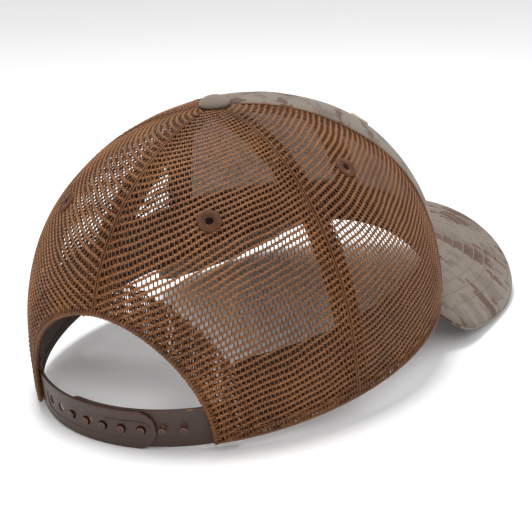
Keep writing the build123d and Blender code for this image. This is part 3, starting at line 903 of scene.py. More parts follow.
def net_edges(low, high):
    """A net panel's cords along its seams and rim, and the overlock's ladder of threads."""
    build = Build()
    for angle, side in ((low, 1), (high, -1)):
        foot = ARCH_HEIGHT + 0.6 if angle == 0.0 else RIM_CLEARANCE
        if angle == FRONT_SEAM:
            foot = float(foot_height(np.array(angle), 0, HALF_BILL)) + RIM_CLEARANCE
        path, normals = seam_line(angle, side * 0.55, 0.12, foot, SEAM_TOP)
        cord_along(build, path, normals, 0.7, 0.7)
        path, normals = seam_line(angle, side * (SEAM_FOLD + 0.2), 0.8, foot, FOLD_TOP)
        cord_along(build, path, normals, 0.5, 0.45, 1.3, 6)
    arch_foot = math.degrees(math.atan2(ARCH_HALF_WIDTH, RIM_CORD_START))
    start, end = (arch_foot, high) if low == 0.0 else (low, high - RIM_CORD_STOP)
    angles = np.linspace(start, end, 160)
    for z, width in ((0.5, 1.15), (LADDER_HEIGHT + 0.5, 0.7)):
        path, normals = crown(angles, np.full(160, z), 0.3)
        cord_along(build, path, normals, width, width * 0.8)
    path, normals = crown(angles, np.full(160, 0.6), 0.1)
    count = int(path_length(path) / LADDER_PITCH)
    stations = np.linspace(0.5, path_length(path) - 0.5, count)
    foot_points, lean = resample(path, normals, stations)
    rise = np.linspace(0, LADDER_HEIGHT, 4)
    up = unit(np.cross(lean, np.gradient(foot_points, axis=0)))
    up = up * np.sign(up[:, 2:3] + 1e-9)
    ladder = foot_points[:, None] + up[:, None] * rise[None, :, None]
    bow = 0.16 * np.sin(np.pi * rise / LADDER_HEIGHT)
    ladder = ladder + lean[:, None] * bow[None, :, None]
    origin = np.stack([stations, np.full(count, 400.0)], -1)
    shade = random.uniform(0.2, 0.7, (count, 1))
    tubes(build, ladder, np.repeat(lean[:, None], 4, 1), 0.55, 0.45, 6, origin, shade)
    return build


def arch_edges():
    """The opening's rolled hem, whipped with thread, and two finer cords outside it."""
    build = Build()
    path, normals = arch_line(HEM_MARGIN, 0.5)
    cord_along(build, path, normals, HEM_ROLL, HEM_ROLL)
    for margin, width in ((3.4, 0.55), (FACING_WIDTH - 0.8, 0.55)):
        path, normals = arch_line(margin, 0.5)
        cord_along(build, path, normals, width, width * 0.8)
    inner, lean = arch_line(-0.05, 0.35, 400)
    outer, _ = arch_line(2.3, 0.15, 400)
    count = int(path_length(inner) / WHIP_PITCH)
    stations = np.linspace(0.8, path_length(inner) - 0.8, count)
    start, lean_at = resample(inner, lean, stations)
    run = np.linalg.norm(np.diff(inner, axis=0), axis=1)
    run = np.concatenate([[0], np.cumsum(run)])
    end = np.stack([np.interp(stations, run, outer[:, k]) for k in range(3)], -1)
    share = np.linspace(0, 1, 5)
    threads = start[:, None] + (end - start)[:, None] * share[None, :, None]
    threads = threads + lean_at[:, None] * (0.62 * np.sin(np.pi * share))[None, :, None]
    origin = np.stack([stations, np.full(len(stations), 300.0)], -1)
    shade = random.uniform(0.15, 0.7, (len(stations), 1))
    tubes(build, threads, np.repeat(lean_at[:, None], 5, 1), 0.7, 0.5, 6, origin, shade)
    return build


def arch_facing():
    """The net folded inwards along the opening, as a second layer with a scalloped edge."""
    cloth = Cloth(0.0, REAR_SEAM)

    def inside(points):
        margin = net_margin(points, 0.0, REAR_SEAM, "rear")
        scallop = FACING_WIDTH - 0.6 * (1 + np.cos(points[..., 2] * 1.6 + points[..., 0]))
        return np.minimum(margin, scallop - arch_distance(points))

    build = Build()
    lattice(build, cloth, inside, FOLD_DEPTH, (0.5, 0.9), -0.6, 1.05)
    lattice(build, cloth, inside, FOLD_DEPTH + 0.6, (1.1, 0.3), 0.2, 0.85)
    return build


for side_name, mirrored in SIDES:
    how = {"baked": True, "mirror": mirrored}
    for kind, low, high in (("rear", 0.0, REAR_SEAM), ("side", REAR_SEAM, FRONT_SEAM)):
        place = f"{kind}_{side_name}"
        net, allowance = net_panel(low, high, kind)
        add_piece(net, f"net_{place}", NET, "mesh", f"{kind}_mesh_{side_name}", **how)
        add_piece(allowance, f"net_allowance_{place}", NET_FOLD_SHADED, "mesh", **how)
        add_piece(net_edges(low, high), f"net_edging_{place}", NET_SEAM, "mesh", **how)
    facing = f"arch_facing_{side_name}"
    add_piece(arch_facing(), f"arch_facing_net_{side_name}", NET_FOLD_SHADED, "mesh", facing, **how)
    add_piece(arch_edges(), f"arch_hem_{side_name}", NET_SEAM, "mesh", **how)


# ---------------------------------------------------------------- cloth panels and tapes


def front_panel_grid(depth, rows=96, columns=110):
    """Angles and heights of a front panel's grid."""
    share = 0.5 - 0.5 * np.cos(np.pi * np.linspace(0, 1, columns))
    angles = FRONT_SEAM + 0.12 + (180 - FRONT_SEAM - 0.24) * share
    low = foot_height(angles, depth, HALF_BILL) - 0.2
    top_turn = math.radians(87.6)
    turns = np.arcsin(np.clip(low / CROWN_HEIGHT, 0, 1))
    steps = np.linspace(0, 1, rows)[:, None]
    z = CROWN_HEIGHT * np.sin(turns + (top_turn - turns) * steps)
    return np.broadcast_to(angles, z.shape), z


def cloth_map(angles, z, low, high):
    """Cloth coordinates in mm: across from the panel's middle and up its middle line."""
    cloth = Cloth(low, high)
    up = np.interp(z, cloth.z, cloth.height)
    middle, _ = surface(cloth.middle, z)
    point, _ = surface(angles, z)
    across = np.linalg.norm(point - middle, axis=-1) * np.sign(angles - cloth.middle)
    return np.stack([across, up], -1)


def sewn_relief(points):
    """Dips of the twill at its seams and along the topstitching."""
    dip = np.zeros(points.shape[:-1])
    for angle in (FRONT_SEAM, 180.0):
        distance = np.abs(seam_distance(points, angle))
        dip += SEAM_DIP * bump_line(distance, 0.9)
        dip += 0.2 * bump_line(distance - TOPSTITCH_OFFSET, 0.6)
        dip -= 0.16 * bump_line(distance - 1.7, 0.9)
    return dip


def front_panel(shift):
    """A twill front panel. Its shift picks the part of the print it is cut from."""
    build = Build()
    angles, z = front_panel_grid(0.0)
    plain, _ = surface(angles, z)
    dip = sewn_relief(plain)
    reach = np.hypot(plain[..., 0], plain[..., 1] - APEX_Y)
    hole = np.linalg.norm(plain - surface(*EYELETS["front"])[0], axis=-1)
    dip += 0.25 * bump_line(hole - 4.8, 0.8) + 0.2 * bump_line(reach - 7.2, 1.2)
    outer, _ = crown(angles, z, dip)
    inner, _ = crown(angles, z, 0.8)
    shell(build, outer, inner, cloth_map(angles, z, FRONT_SEAM, 180.0) + shift)
    return build


def buckram_panel():
    build = Build()
    angles, z = front_panel_grid(0.9, 60, 50)
    outer, _ = crown(angles, z, 0.92)
    inner, _ = crown(angles, z, 1.4)
    shell(build, outer, inner, cloth_map(angles, z, FRONT_SEAM, 180.0))
    return build


def panel_stitches():
    """Topstitching beside the front panel's two seams."""
    build = Build()
    for angle, side in ((FRONT_SEAM, 1), (180.0, -1)):
        foot = float(foot_height(np.array(angle), 0, HALF_BILL)) + 0.8
        path, normals = seam_line(angle, side * TOPSTITCH_OFFSET, 0.15, foot, TOPSTITCH_TOP)
        stitch_row(build, path, normals, **TOPSTITCH)
    return build


def net_stitches():
    """Rows of stitches through the net and the tapes behind, beside each seam, and at the rim."""
    build = Build()
    lines = [(0.0, 1, ARCH_HEIGHT + 3), (REAR_SEAM, -1, 4.0), (REAR_SEAM, 1, 4.0)]
    lines.append((FRONT_SEAM, -1, 8.0))
    for angle, side, foot in lines:
        for offset in (2.4, SEAM_FOLD - 0.9):
            path, normals = seam_line(angle, side * offset, 0.08, foot, STITCH_TOP)
            stitch_row(build, path, normals, **SEAM_STITCH)
    for margin in (6.6, FACING_WIDTH - 2.2):
        path, normals = arch_line(margin, -0.02)
        stitch_row(build, path, normals, **HEM_STITCH)
    angles = np.linspace(31.0, 120.0, 300)
    path, normals = crown(angles, np.full(300, 5.2), -0.02)
    stitch_row(build, path, normals, **RIM_STITCH)
    return build


def seam_tape(angle, low, high, half_width=TAPE_WIDTH / 2):
    """A tape behind a seam with slightly curled selvedges."""
    build = Build()
    z = height_steps(low, high, 90)[:, None]
    offsets = np.linspace(-half_width, half_width, 17)[None, :]
    angles = beside(angle, z, offsets)
    curl = 0.18 * (np.abs(offsets) / half_width) ** 6
    ribs = 0.05 * np.cos(offsets * 5.2)
    outer, _ = crown(angles, z, TAPE_DEPTH[0] + 0.1 - curl + ribs)
    inner, _ = crown(angles, z, TAPE_DEPTH[1] + 0.15 - curl + ribs)
    run = np.linspace(0, 1, 90)[:, None] * 130 + 0 * offsets
    shell(build, outer, inner, np.stack([offsets + 0 * z, run], -1))
    return build


def tape_stitches(angle, low, high):
    build = Build()
    for offset in (-4.6, 4.6):
        path, normals = seam_line(angle, offset, TAPE_DEPTH[1] + 0.1, low, high)
        stitch_row(build, path, -normals, **TAPE_STITCH)
    return build


LEFT_PRINT_SHIFT = (470, 90)

for side_name, mirrored in SIDES:
    panel = front_panel(LEFT_PRINT_SHIFT if mirrored else (0, 0))
    front, backing = f"front_panel_{side_name}", f"buckram_{side_name}"
    add_piece(panel, f"twill_front_{side_name}", CAMO, "camo_twill", front, mirror=mirrored)
    name = f"buckram_backing_{side_name}"
    add_piece(buckram_panel(), name, BUCKRAM, "buckram", backing, mirror=mirrored)
    name = f"front_topstitching_{side_name}"
    add_piece(panel_stitches(), name, TAN_THREAD, "camo_twill", mirror=mirrored)
    add_piece(net_stitches(), f"net_stitching_{side_name}", NET_SEAM, "mesh", mirror=mirrored)

TAPE_SEAMS = {
    "back": (0.0, ARCH_HEIGHT + 0.4),
    "rear_right": (REAR_SEAM, 0.3),
    "rear_left": (-REAR_SEAM, 0.3),
    "front_right": (FRONT_SEAM, 6.0),
    "front_left": (-FRONT_SEAM, 6.0),
    "front": (180.0, 14.0),
}
for seam, (angle, foot) in TAPE_SEAMS.items():
    tape = seam_tape(angle, foot, TAPE_TOP)
    add_piece(tape, f"tape_{seam}", TAPE, "seam_tape", f"{seam}_seam_tape")
    threads = tape_stitches(angle, foot + 2, FOLD_TOP)
    add_piece(threads, f"tape_stitching_{seam}", NET_SEAM, "seam_tape")


def sweatband():
    """A soft band round the inside of the rim, a little puffed between its stitched edges."""
    build = Build()
    point, _ = surface(np.linspace(20, 45, 400), 0.0)
    end = float(np.interp(SWEATBAND_END_X + 0.6, -point[:, 0], np.linspace(20, 45, 400)))
    angles = np.linspace(end, 360 - end, 420)[:, None]
    low = foot_height(angles, 2.8, -HALF_BILL)
    share = np.linspace(0, 1, 31)[None, :]
    z = low + (SWEATBAND_HEIGHT - low) * share
    point, normal = surface(angles, np.maximum(z, 0))
    point[..., 2] = z
    outer_depth, inner_depth = SWEATBAND_DEPTH
    round_off = 1 - np.clip(1 - np.minimum(share, 1 - share) / 0.05, 0, 1) ** 2
    middle = (outer_depth + inner_depth) / 2
    thick = (inner_depth - outer_depth) / 2 * (0.25 + 0.75 * round_off)
    puff = 0.3 * bump_line(share - 0.5, 0.28) - 0.35 * bump_line(share - 0.12, 0.025)
    outer = point - normal * (middle - thick)[..., None]
    inner = point - normal * (middle + thick + puff)[..., None]
    run = (angles - end) / (360 - 2 * end) * 520
    uv = np.stack(np.broadcast_arrays(run, z), -1)
    shell(build, outer, inner, uv)
    stitches = Build()
    level = (low + (SWEATBAND_HEIGHT - low) * 0.12)[:, 0]
    line, lean = surface(angles[:, 0], np.maximum(level, 0))
    line[:, 2] = level
    stitch_row(stitches, line - lean * (inner_depth - 0.05), -lean, **BAND_STITCH)
    return build, stitches


band, band_stitches = sweatband()
add_piece(band, "sweatband_cloth", BAND, "sweatband", "sweatband")
add_piece(band_stitches, "sweatband_stitching", NET_SEAM, "sweatband")


# ---------------------------------------------------------------- bill


def bill_inset(x, y):
    """How far inside the bill's outline a point lies, in mm."""
    low = np.full(np.broadcast(x, y).shape, -2.0)
    high = np.full_like(low, 76.0)
    ahead = np.maximum(BILL_WIDEST_Y - y, 0)
    for _ in range(26):
        middle = (low + high) / 2
        width = np.maximum(BILL_HALF_WIDTH - middle, 0.1)
        length = np.maximum(BILL_WIDEST_Y - BILL_TIP_Y - middle, 0.1)
        ring = (np.abs(x) / width) ** 2 + (ahead / length) ** (2 / BILL_POWER)
        outside = ring > 1
        high = np.where(outside, middle, high)
        low = np.where(outside, low, middle)
    return (low + high) / 2


def bill_outline(inset, count):
    """The outline in plan from the right rear corner round the front to the left one."""
    turn = np.sin(np.linspace(-1, 1, count) * np.pi / 2) * np.pi / 2
    reach = BILL_WIDEST_Y - BILL_TIP_Y - inset
    x = (BILL_HALF_WIDTH - inset) * np.sin(turn)
    y = BILL_WIDEST_Y - reach * np.clip(np.cos(turn), 0, 1) ** BILL_POWER
    front = np.stack([x, y], -1)
    corner = np.linspace(0, np.pi / 2, 26)[1:]
    width, length = BILL_CORNER[0], BILL_CORNER[1] - inset
    back_x = BILL_HALF_WIDTH - inset - width * (1 - np.cos(corner))
    back_y = BILL_WIDEST_Y + length * np.sin(corner)
    left = np.stack([back_x, back_y], -1)
    return np.concatenate([left[::-1] * (-1, 1), front, left])


def rim_inside(points, depth):
    """How far inside the crown's rim ellipse a plan point lies, roughly in mm."""
    centre, half_width, half_length = section(0.0)
    ring = np.hypot(points[..., 0] / (half_width - depth), (points[..., 1] - centre) / (half_length - depth))
    return (1 - ring) * (half_width + half_length) / 2


def bill_edge_points(count):
    """Matching points on the outline and on the crown's rim, evenly spaced along the outline."""
    line = bill_outline(0.0, 600)
    outside = np.flatnonzero(rim_inside(line, BILL_TUCK) < 0)
    line = line[outside[0] : outside[-1] + 1]
    run = np.concatenate([[0], np.cumsum(np.linalg.norm(np.diff(line, axis=0), axis=1))])
    share = np.linspace(0, run[-1], count)
    edge = np.stack([np.interp(share, run, line[:, k]) for k in (0, 1)], -1)
    centre, half_width, half_length = section(0.0)
    ends = [np.arctan2(edge[k, 0], centre - edge[k, 1]) for k in (0, -1)]
    turn = np.interp(np.linspace(-1, 1, count), [-1, 1], ends)
    root = np.stack(
        [(half_width - BILL_TUCK) * np.sin(turn), centre - (half_length - BILL_TUCK) * np.cos(turn)], -1
    )
    middle = np.sin(np.linspace(0, 1, count) * np.pi)[:, None] > 0.02
    return edge, np.where(middle, root, edge * 0.5 + root * 0.5)


def bill_cover(side):
    """One cloth cover of the bill with its rows of stitching pressed in. Side is 1 on top."""
    build = Build()
    columns, rows = 300, 150
    edge, root = bill_edge_points(columns)
    steps = np.concatenate([[0, 0.0006, 0.002, 0.0045, 0.008, 0.0125], np.linspace(0.018, 1, rows)])
    share = steps[:, None, None]
    plan = edge[None] * (1 - share) + root[None] * share
    x, y = plan[..., 0], plan[..., 1]
    inset = np.maximum(bill_inset(x, y), 0)
    corner_x = np.abs(x) - (BILL_HALF_WIDTH - BILL_CORNER[0])
    corner_y = np.maximum(y - BILL_WIDEST_Y, 0)
    ring = np.hypot(np.maximum(corner_x, 0) / BILL_CORNER[0], corner_y / BILL_CORNER[1])
    corner = np.where(y > BILL_WIDEST_Y, (1 - ring) * BILL_CORNER[0], inset)
    near_edge = np.clip(np.minimum(inset, corner), 0, None)
    near_edge[0] = 0
    half = HALF_BILL
    bead = np.sqrt(1 - np.clip(1 - near_edge / 1.7, 0, 1) ** 2)
    groove = sum(bump_line(inset - row, 0.62) for row in BILL_ROWS)
    puff = 0.12 * np.cos(2 * np.pi * (inset - BILL_ROWS[0]) / BILL_ROW_PITCH) * (inset > 5)
    lift = half * bead - (0.32 * groove + puff * 0.5) * bead
    pinch = 0.18 * bump_line(near_edge - 2.6, 0.7)
    outer = np.stack([x, y, bill_height(x, y, side * (lift - pinch))], -1)
    inner_lift = np.minimum(lift - 0.6, half - 0.8)
    inner = np.stack([x, y, bill_height(x, y, side * np.maximum(inner_lift, 0.02))], -1)
    arc = BILL_RADIUS * np.arcsin(np.clip(x / BILL_RADIUS, -1, 1))
    uv = np.stack([arc + 400 * (side < 0), y * 1.03], -1)
    shell(build, outer, inner, uv)
    return build


def bill_stitches(side):
    """The rows of stitches that follow the bill's outline."""
    build = Build()
    for row in BILL_ROWS:
        line = bill_outline(row, 500)
        keep = (rim_inside(line, 0.0) < -0.6) & (line[:, 1] < BILL_WIDEST_Y + 14)
        line = line[keep]
        if len(line) < 4:
            continue
        lift = side * (HALF_BILL - 0.22)
        x, y = line[:, 0], line[:, 1]
        path = np.stack([x, y, bill_height(x, y, lift)], -1)
        lean = unit(np.stack([x / BILL_RADIUS, 0 * x - BILL_RISE, np.ones_like(x)], -1)) * side
        stitch_row(build, path, lean, **BILL_STITCH)
    return build


for side, face in ((1, "top"), (-1, "under")):
    cover = f"bill_{face}_cover"
    add_piece(bill_cover(side), f"bill_cloth_{face}", CAMO, "camo_twill", cover)
for side, face in ((1, "top"), (-1, "under")):
    add_piece(bill_stitches(side), f"bill_stitching_{face}", TAN_THREAD, "camo_twill")


# ---------------------------------------------------------------- button and eyelets


def turned(build, radii, heights, columns, centre, normal, radial=None, tone=None):
    """A closed form turned round an axis. Radial changes each point's height by its angle."""
    normal = unit(np.asarray(normal, float))
    first = unit(np.cross(normal, [0.31, 0.95, 0.05]))
    second = np.cross(normal, first)
    turn = 2 * np.pi * np.arange(columns) / columns
    out = np.cos(turn)[:, None] * first + np.sin(turn)[:, None] * second
    heights = np.asarray(heights, float)[:, None] + (0 if radial is None else radial(turn))
    ring = np.asarray(radii, float)[:, None, None] * out[None]
    points = centre + ring + heights[..., None] * normal
    rows = len(radii)
    faces = grid_faces(rows, columns, wrap=True)
    reach = np.asarray(radii)[:, None]
    flat = np.stack([reach * np.cos(turn), reach * np.sin(turn)], -1)
    shades = np.tile(0.5 * np.ones(columns) if tone is None else tone(turn), rows)
    build.add(points, faces, flat.reshape(-1, 2)[faces], shades)
    return rows, columns


def button():
    """The cloth-covered button, gathered under its edge."""
    build = Build()
    top = math.sin(math.radians(85.7)) * CROWN_HEIGHT
    turns = np.linspace(0, np.pi / 2, 16)
    radii = [0.4, BUTTON_RADIUS - 1.6, BUTTON_RADIUS - 0.9, BUTTON_RADIUS - 0.3]
    heights = [0.1, 0.02, 0.05, 0.3]
    radii += list(BUTTON_RADIUS * np.cos(turns[:-1])) + [0.25]
    heights += list(BUTTON_CURL * 0.8 + BUTTON_DOME * np.sin(turns[:-1]))
    heights += [BUTTON_CURL * 0.8 + BUTTON_DOME]
    fade = np.exp(-np.arange(len(radii)) / 3.0)[:, None]

    def gather(turn):
        return 0.1 * fade * np.sin(14 * turn + 1.3 * np.sin(3 * turn))

    rows, columns = turned(build, radii, heights, 72, np.array([0, APEX_Y, top + 0.1]), (0, 0, 1), gather)
    for row in (0, rows - 1):
        ring = (row * columns + np.arange(columns))[None]
        spots = build.maps[0].reshape(-1, 2)[:columns][None] * 0
        build.more_faces(0, ring, spots)
    return build


def eyelet(angle, z, columns=180, threads=36):
    """A ring of satin stitches round a small hole, seen from both sides of the cloth."""
    build = Build()
    centre, normal = crown(np.array(angle), np.array(z), 0.0)
    loop = 2 * np.pi * np.arange(22) / 22
    middle, half = (EYELET_RADIUS + EYELET_HOLE) / 2, (EYELET_RADIUS - EYELET_HOLE) / 2
    radii = middle + half * np.sign(np.cos(loop)) * np.abs(np.cos(loop)) ** 0.8
    heights = np.where(np.sin(loop) > 0, 0.55, 1.3) * np.sin(loop)
    flank = np.abs(np.sin(loop))[:, None]

    def ridge(turn):
        return np.abs(np.sin(turn * threads / 2 + 0.25 * np.sin(5 * turn)))

    def thread(turn):
        return np.sign(np.sin(loop))[:, None] * flank * (0.3 * ridge(turn) - 0.16)

    def shade(turn):
        return 0.25 + 0.6 * ridge(turn)

    rows, columns = turned(build, radii, heights, columns, centre, normal, thread, shade)
    last = (rows - 1) * columns + np.arange(columns)
    first = np.arange(columns)
    close = np.stack([last, first, np.roll(first, -1), np.roll(last, -1)], -1)
    build.more_faces(0, close, np.zeros((columns, 4, 2)))
    return build


add_piece(button(), "button_cloth", PLAIN, "camo_twill", "button_cover")
for place, (angle, z) in EYELETS.items():
    material, slot = (TAN_EYELET, "eyelet_tan") if place == "front" else (BROWN_EYELET, "eyelet_brown")
    for side_name, mirrored in SIDES:
        ring = f"{place}_{side_name}"
        name = f"stitched_eyelet_{ring}"
        add_piece(eyelet(angle, z), name, material, slot, f"eyelet_{ring}", mirror=mirrored)

for node_name, material in (
    ("button_shell", METAL),
    ("button_post", METAL),
    ("button_back", METAL),
    ("bill_board", BOARD),
):
    nodes[node_name].data.materials.clear()
    nodes[node_name].data.materials.append(material)


# ---------------------------------------------------------------- snap strap


class Plate:
    """A strap built flat, as run along the band and height, then bent to its circle."""

    def __init__(self, radius):
        self.radius = radius
        self.build = Build()

    def bend(self, flat, depth):
        angle = flat[..., 0] / self.radius
        reach = self.radius - np.broadcast_to(depth, angle.shape)
        x, y = -reach * np.sin(angle), STRAP_CENTRE_Y + reach * np.cos(angle)
        return np.stack([x, y, flat[..., 1]], -1)

    def wall(self, loops):
        """Faces between matching closed loops of (flat points, depth)."""
        points = np.concatenate([self.bend(flat, depth) for flat, depth in loops])
        count = len(loops[0][0])
        faces = grid_faces(len(loops), count, wrap=True)
        uv = np.concatenate([flat + (0, depth) for flat, depth in loops])
        self.build.add(points, faces, uv[faces])

    def fill(self, outline, holes, depth, spacing=1.0):
        """A flat region inside an outline and outside its holes."""
        loops = [outline] + list(holes)
        low, high = outline.min(0), outline.max(0)
        xs = np.arange(low[0] + spacing / 2, high[0], spacing)
        ys = np.arange(low[1] + spacing / 2, high[1], spacing)
        inner = np.stack(np.meshgrid(xs, ys, indexing="ij"), -1).reshape(-1, 2)
        inner = inner[contains(outline, inner)]
        for loop in loops:
            gaps = np.linalg.norm(inner[:, None] - loop[None], axis=-1).min(1)
            inner = inner[gaps > spacing * 0.45]
        for hole in holes:
            inner = inner[~contains(hole, inner)]
        points = np.concatenate(loops + [inner])
        edges, start = [], 0
        for loop in loops:
            n = len(loop)
            edges += [(start + i, start + (i + 1) % n) for i in range(n)]
            start += n
        flat = [Vector(p) for p in points]
        made = delaunay_2d_cdt(flat, edges, [], 0, 1e-6)
        spots = np.array([tuple(p) for p in made[0]])
        faces = np.array(made[2])
        middles = spots[faces].mean(1)
        keep = contains(outline, middles)
        for hole in holes:
            keep &= ~contains(hole, middles)
        faces = faces[keep]
        self.build.add(self.bend(spots, depth), faces, (spots + (0, depth))[faces])


def contains(loop, points):
    """Which points lie inside a closed loop."""
    a, b = loop, np.roll(loop, -1, axis=0)
    x, y = points[:, 0, None], points[:, 1, None]
    crosses = (a[:, 1] > y) != (b[:, 1] > y)
    at = (b[:, 0] - a[:, 0]) * (y - a[:, 1]) / (b[:, 1] - a[:, 1] + 1e-12) + a[:, 0]
    return (crosses & (x < at)).sum(1) % 2 == 1


def tongue(start, end, inset):
    """A strap's outline: square at its start, fully rounded at its end."""
    low, high = STRAP_LOW + inset, STRAP_LOW + STRAP_HEIGHT - inset
    radius = STRAP_HEIGHT / 2
    way = 1 if end > start else -1
    first, corner = start + way * inset, end - way * radius
    straight = np.linspace(first, corner, 70)
    turn = np.linspace(-np.pi / 2, np.pi / 2, 30)[1:-1]
    tip = np.stack([
        corner + way * (radius - inset) * np.cos(turn),
        (low + high) / 2 + (radius - inset) * np.sin(turn),
    ], -1)
    bottom = np.stack([straight, np.full(70, low)], -1)
    top = np.stack([straight[::-1], np.full(70, high)], -1)
    side = np.stack([np.full(8, first), np.linspace(high, low, 10)[1:-1]], -1)
    return np.concatenate([bottom, tip, top, side])


def circle(centre, radius, count=28):
    turn = 2 * np.pi * np.arange(count) / count
    return np.stack([centre[0] + radius * np.cos(turn), centre[1] + radius * np.sin(turn)], -1)


def slot_outline(start, end, half, grow):
    """A stadium round the row of holes."""
    turn = np.linspace(-np.pi / 2, np.pi / 2, 20)
    middle = STRAP_LOW + STRAP_HEIGHT / 2
    reach = half + grow
    right = np.stack([end + reach * np.cos(turn), middle + reach * np.sin(turn)], -1)
    left = np.stack([start - reach * np.cos(turn), middle - reach * np.sin(turn)], -1)
    run = np.linspace(start, end, 48)[1:-1]
    bottom = np.stack([run, np.full(46, middle - reach)], -1)
    top = np.stack([run[::-1], np.full(46, middle + reach)], -1)
    return np.concatenate([bottom, right, top, left])


ROUND = [(0.32, 0.0), (0.19, 0.03), (0.07, 0.12), (0.0, 0.3)]


def hole_run(index):
    return HOLE_PITCH * index - MIDDLE_HOLE_OFFSET


def hole_band():
    plate = Plate(STRAP_RADIUS)
    start = -math.asin(TAB_END_X / STRAP_RADIUS) * STRAP_RADIUS
    end = hole_run(3) + HOLE_END_MARGIN
    middle = STRAP_LOW + STRAP_HEIGHT / 2
    thick = STRAP_THICKNESS
    outlines = [(tongue(start, end, inset), depth) for inset, depth in ROUND]
    back = [(tongue(start, end, inset), thick - depth) for inset, depth in ROUND[::-1]]
    plate.wall(outlines + back)
    first, last = hole_run(-3), hole_run(3)
    rim = [(slot_outline(first, last, CHANNEL_HALF_HEIGHT, grow), depth)
           for grow, depth in ((0.28, 0.0), (0.12, 0.05), (0.03, 0.16), (0.0, CHANNEL_DEPTH))]
    plate.wall(rim)
    plate.fill(outlines[0][0], [rim[0][0]], 0.0)
    holes = [(hole_run(i), middle) for i in range(-3, 4)]
    mouth = [circle(hole, HOLE_RADIUS + 0.22) for hole in holes]
    plate.fill(rim[-1][0], mouth, CHANNEL_DEPTH)
    for hole in holes:
        rings = [(0.22, CHANNEL_DEPTH), (0.08, CHANNEL_DEPTH + 0.05), (0.0, CHANNEL_DEPTH + 0.2)]
        rings += [(0.0, thick - 0.2), (0.08, thick - 0.05), (0.2, thick)]
        plate.wall([(circle(hole, HOLE_RADIUS + grow), depth) for grow, depth in rings])
    plate.fill(back[-1][0], [circle(hole, HOLE_RADIUS + 0.2) for hole in holes], thick)
    return plate.build


def peg_band():
    radius = STRAP_RADIUS - STRAP_THICKNESS - STRAP_GAP
    plate = Plate(radius)
    start = math.asin(TAB_END_X / radius) * radius
    end = hole_run(-1) / STRAP_RADIUS * radius - PEG_END_MARGIN
    middle = STRAP_LOW + STRAP_HEIGHT / 2
    outlines = [(tongue(start, end, inset), depth) for inset, depth in ROUND]
    back = [(tongue(start, end, inset), STRAP_THICKNESS - depth) for inset, depth in ROUND[::-1]]
    plate.wall(outlines + back)
    plate.fill(outlines[0][0], [], 0.0)
    plate.fill(back[-1][0], [], STRAP_THICKNESS)
    stem = [(1.5, -0.3), (1.32, 0.03), (1.16, 0.16), (1.06, 0.4), (1.05, 1.3), (1.2, 1.6)]
    stem += [(1.42, 1.85), (1.34, 2.12), (0.9, 2.32), (0.5, PEG_HEIGHT), (0.12, PEG_HEIGHT + 0.02)]
    radii, heights = [r for r, _ in stem], [h for _, h in stem]
    for index in range(-1, 6):
        angle = hole_run(index) / STRAP_RADIUS
        out = np.array([-math.sin(angle), math.cos(angle), 0])
        centre = np.array([0, STRAP_CENTRE_Y, middle]) + out * radius
        before = plate.build.count
        rows, columns = turned(plate.build, radii, heights, 28, centre, out)
        for row in (0, rows - 1):
            ring = (row * columns + np.arange(columns))[None]
            plate.build.more_faces(before, ring, np.zeros((1, columns, 2)))
    return plate.build


def weld(piece, distance=0.00002):
    work = bmesh.new()
    work.from_mesh(piece.data)
    bmesh.ops.remove_doubles(work, verts=work.verts, dist=distance)
    bmesh.ops.recalc_face_normals(work, faces=work.faces)
    work.to_mesh(piece.data)
    work.free()


for strap_name, make, strap_side, strap_radius in (
    ("hole_strap", hole_band, 1, STRAP_RADIUS),
    ("peg_strap", peg_band, -1, STRAP_RADIUS - STRAP_THICKNESS - STRAP_GAP),
):
    made = make().object(f"snap_{strap_name}", STRAP)
    weld(made)
    made.data.shade_smooth()
    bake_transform(made)
    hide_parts(strap_name, strap_name + "_tab")


# ---------------------------------------------------------------- floor, light and camera

FLOOR_SIZE = 9.0

floor_mesh = bpy.data.meshes.new("floor")
floor_corners = [(-1, -1), (1, -1), (1, 1), (-1, 1)]
floor_points = [(x * FLOOR_SIZE, y * FLOOR_SIZE, 0.0) for x, y in floor_corners]
floor_mesh.from_pydata(floor_points, [], [(0, 1, 2, 3)])
floor_mesh.materials.append(floor_material())
floor = bpy.data.objects.new("floor", floor_mesh)
bpy.context.scene.collection.objects.link(floor)

CAMERA_TARGET = Vector((-17.08, 6.57, 31.94))
CAMERA_AZIMUTH = math.radians(212.494)
CAMERA_ELEVATION = math.radians(23.235)
CAMERA_DISTANCE = 484.5
CAMERA_ROLL = math.radians(-5.4)
CAMERA_LENS = 80.58


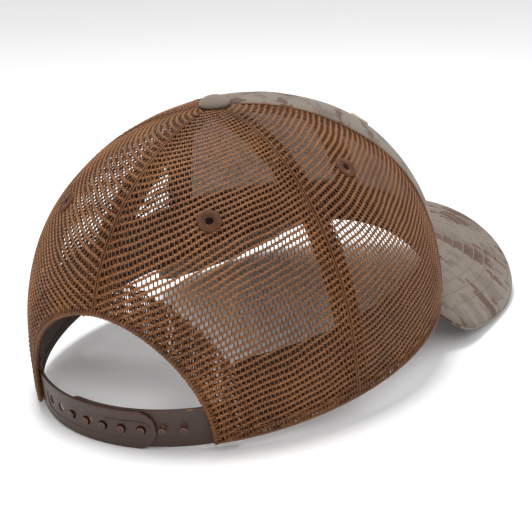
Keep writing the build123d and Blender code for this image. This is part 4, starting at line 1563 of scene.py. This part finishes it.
def make_camera():
    flat = math.cos(CAMERA_ELEVATION)
    side, ahead = math.sin(CAMERA_AZIMUTH) * flat, -math.cos(CAMERA_AZIMUTH) * flat
    back = Vector((side, ahead, math.sin(CAMERA_ELEVATION)))
    right = (-back).cross(Vector((0, 0, 1))).normalized()
    up = right.cross(-back)
    rolled = right * math.cos(CAMERA_ROLL) + up * math.sin(CAMERA_ROLL)
    risen = up * math.cos(CAMERA_ROLL) - right * math.sin(CAMERA_ROLL)
    turn = TO_ROW.to_3x3() * 1000
    axes = Matrix((turn @ rolled, turn @ risen, turn @ back)).transposed()
    place = TO_ROW @ (CAMERA_TARGET + back * CAMERA_DISTANCE)
    data = bpy.data.cameras.new("camera")
    data.lens = CAMERA_LENS
    data.sensor_width = 36
    data.clip_start = 0.02
    data.clip_end = 20
    camera = bpy.data.objects.new("camera", data)
    camera.matrix_world = Matrix.Translation(place) @ axes.to_4x4()
    bpy.context.scene.collection.objects.link(camera)
    bpy.context.scene.camera = camera
    return axes


camera_axes = make_camera()


def area_light(name, offset, size, power, target=(0.0, 0.03, 0.05)):
    """A soft box at an offset in metres given right, up and back from the camera's view."""
    spin = camera_axes @ Vector((offset[0], 0, offset[2]))
    place = Vector((spin.x, spin.y, 0)) + Vector((target[0], target[1], offset[1]))
    data = bpy.data.lights.new(name, "AREA")
    data.shape = "DISK"
    data.size = size
    data.energy = power
    light = bpy.data.objects.new(name, data)
    light.location = place
    light.rotation_mode = "QUATERNION"
    light.rotation_quaternion = (Vector(target) - place).to_track_quat("-Z", "Y")
    bpy.context.scene.collection.objects.link(light)


area_light("key", (-0.12, 1.1, -0.1), 0.4, 8.0)
area_light("fill", (0.9, 0.7, 0.8), 0.9, 1.2)
area_light("front_fill", (0.15, 0.8, 1.2), 0.5, 2.2)

world = bpy.data.worlds.new("studio")
world.use_nodes = True
world.node_tree.nodes["Background"].inputs["Color"].default_value = (1, 1, 1, 1)
world.node_tree.nodes["Background"].inputs["Strength"].default_value = 0.8
bpy.context.scene.world = world
bpy.context.scene.view_settings.view_transform = "Standard"

bpy.context.view_layer.update()
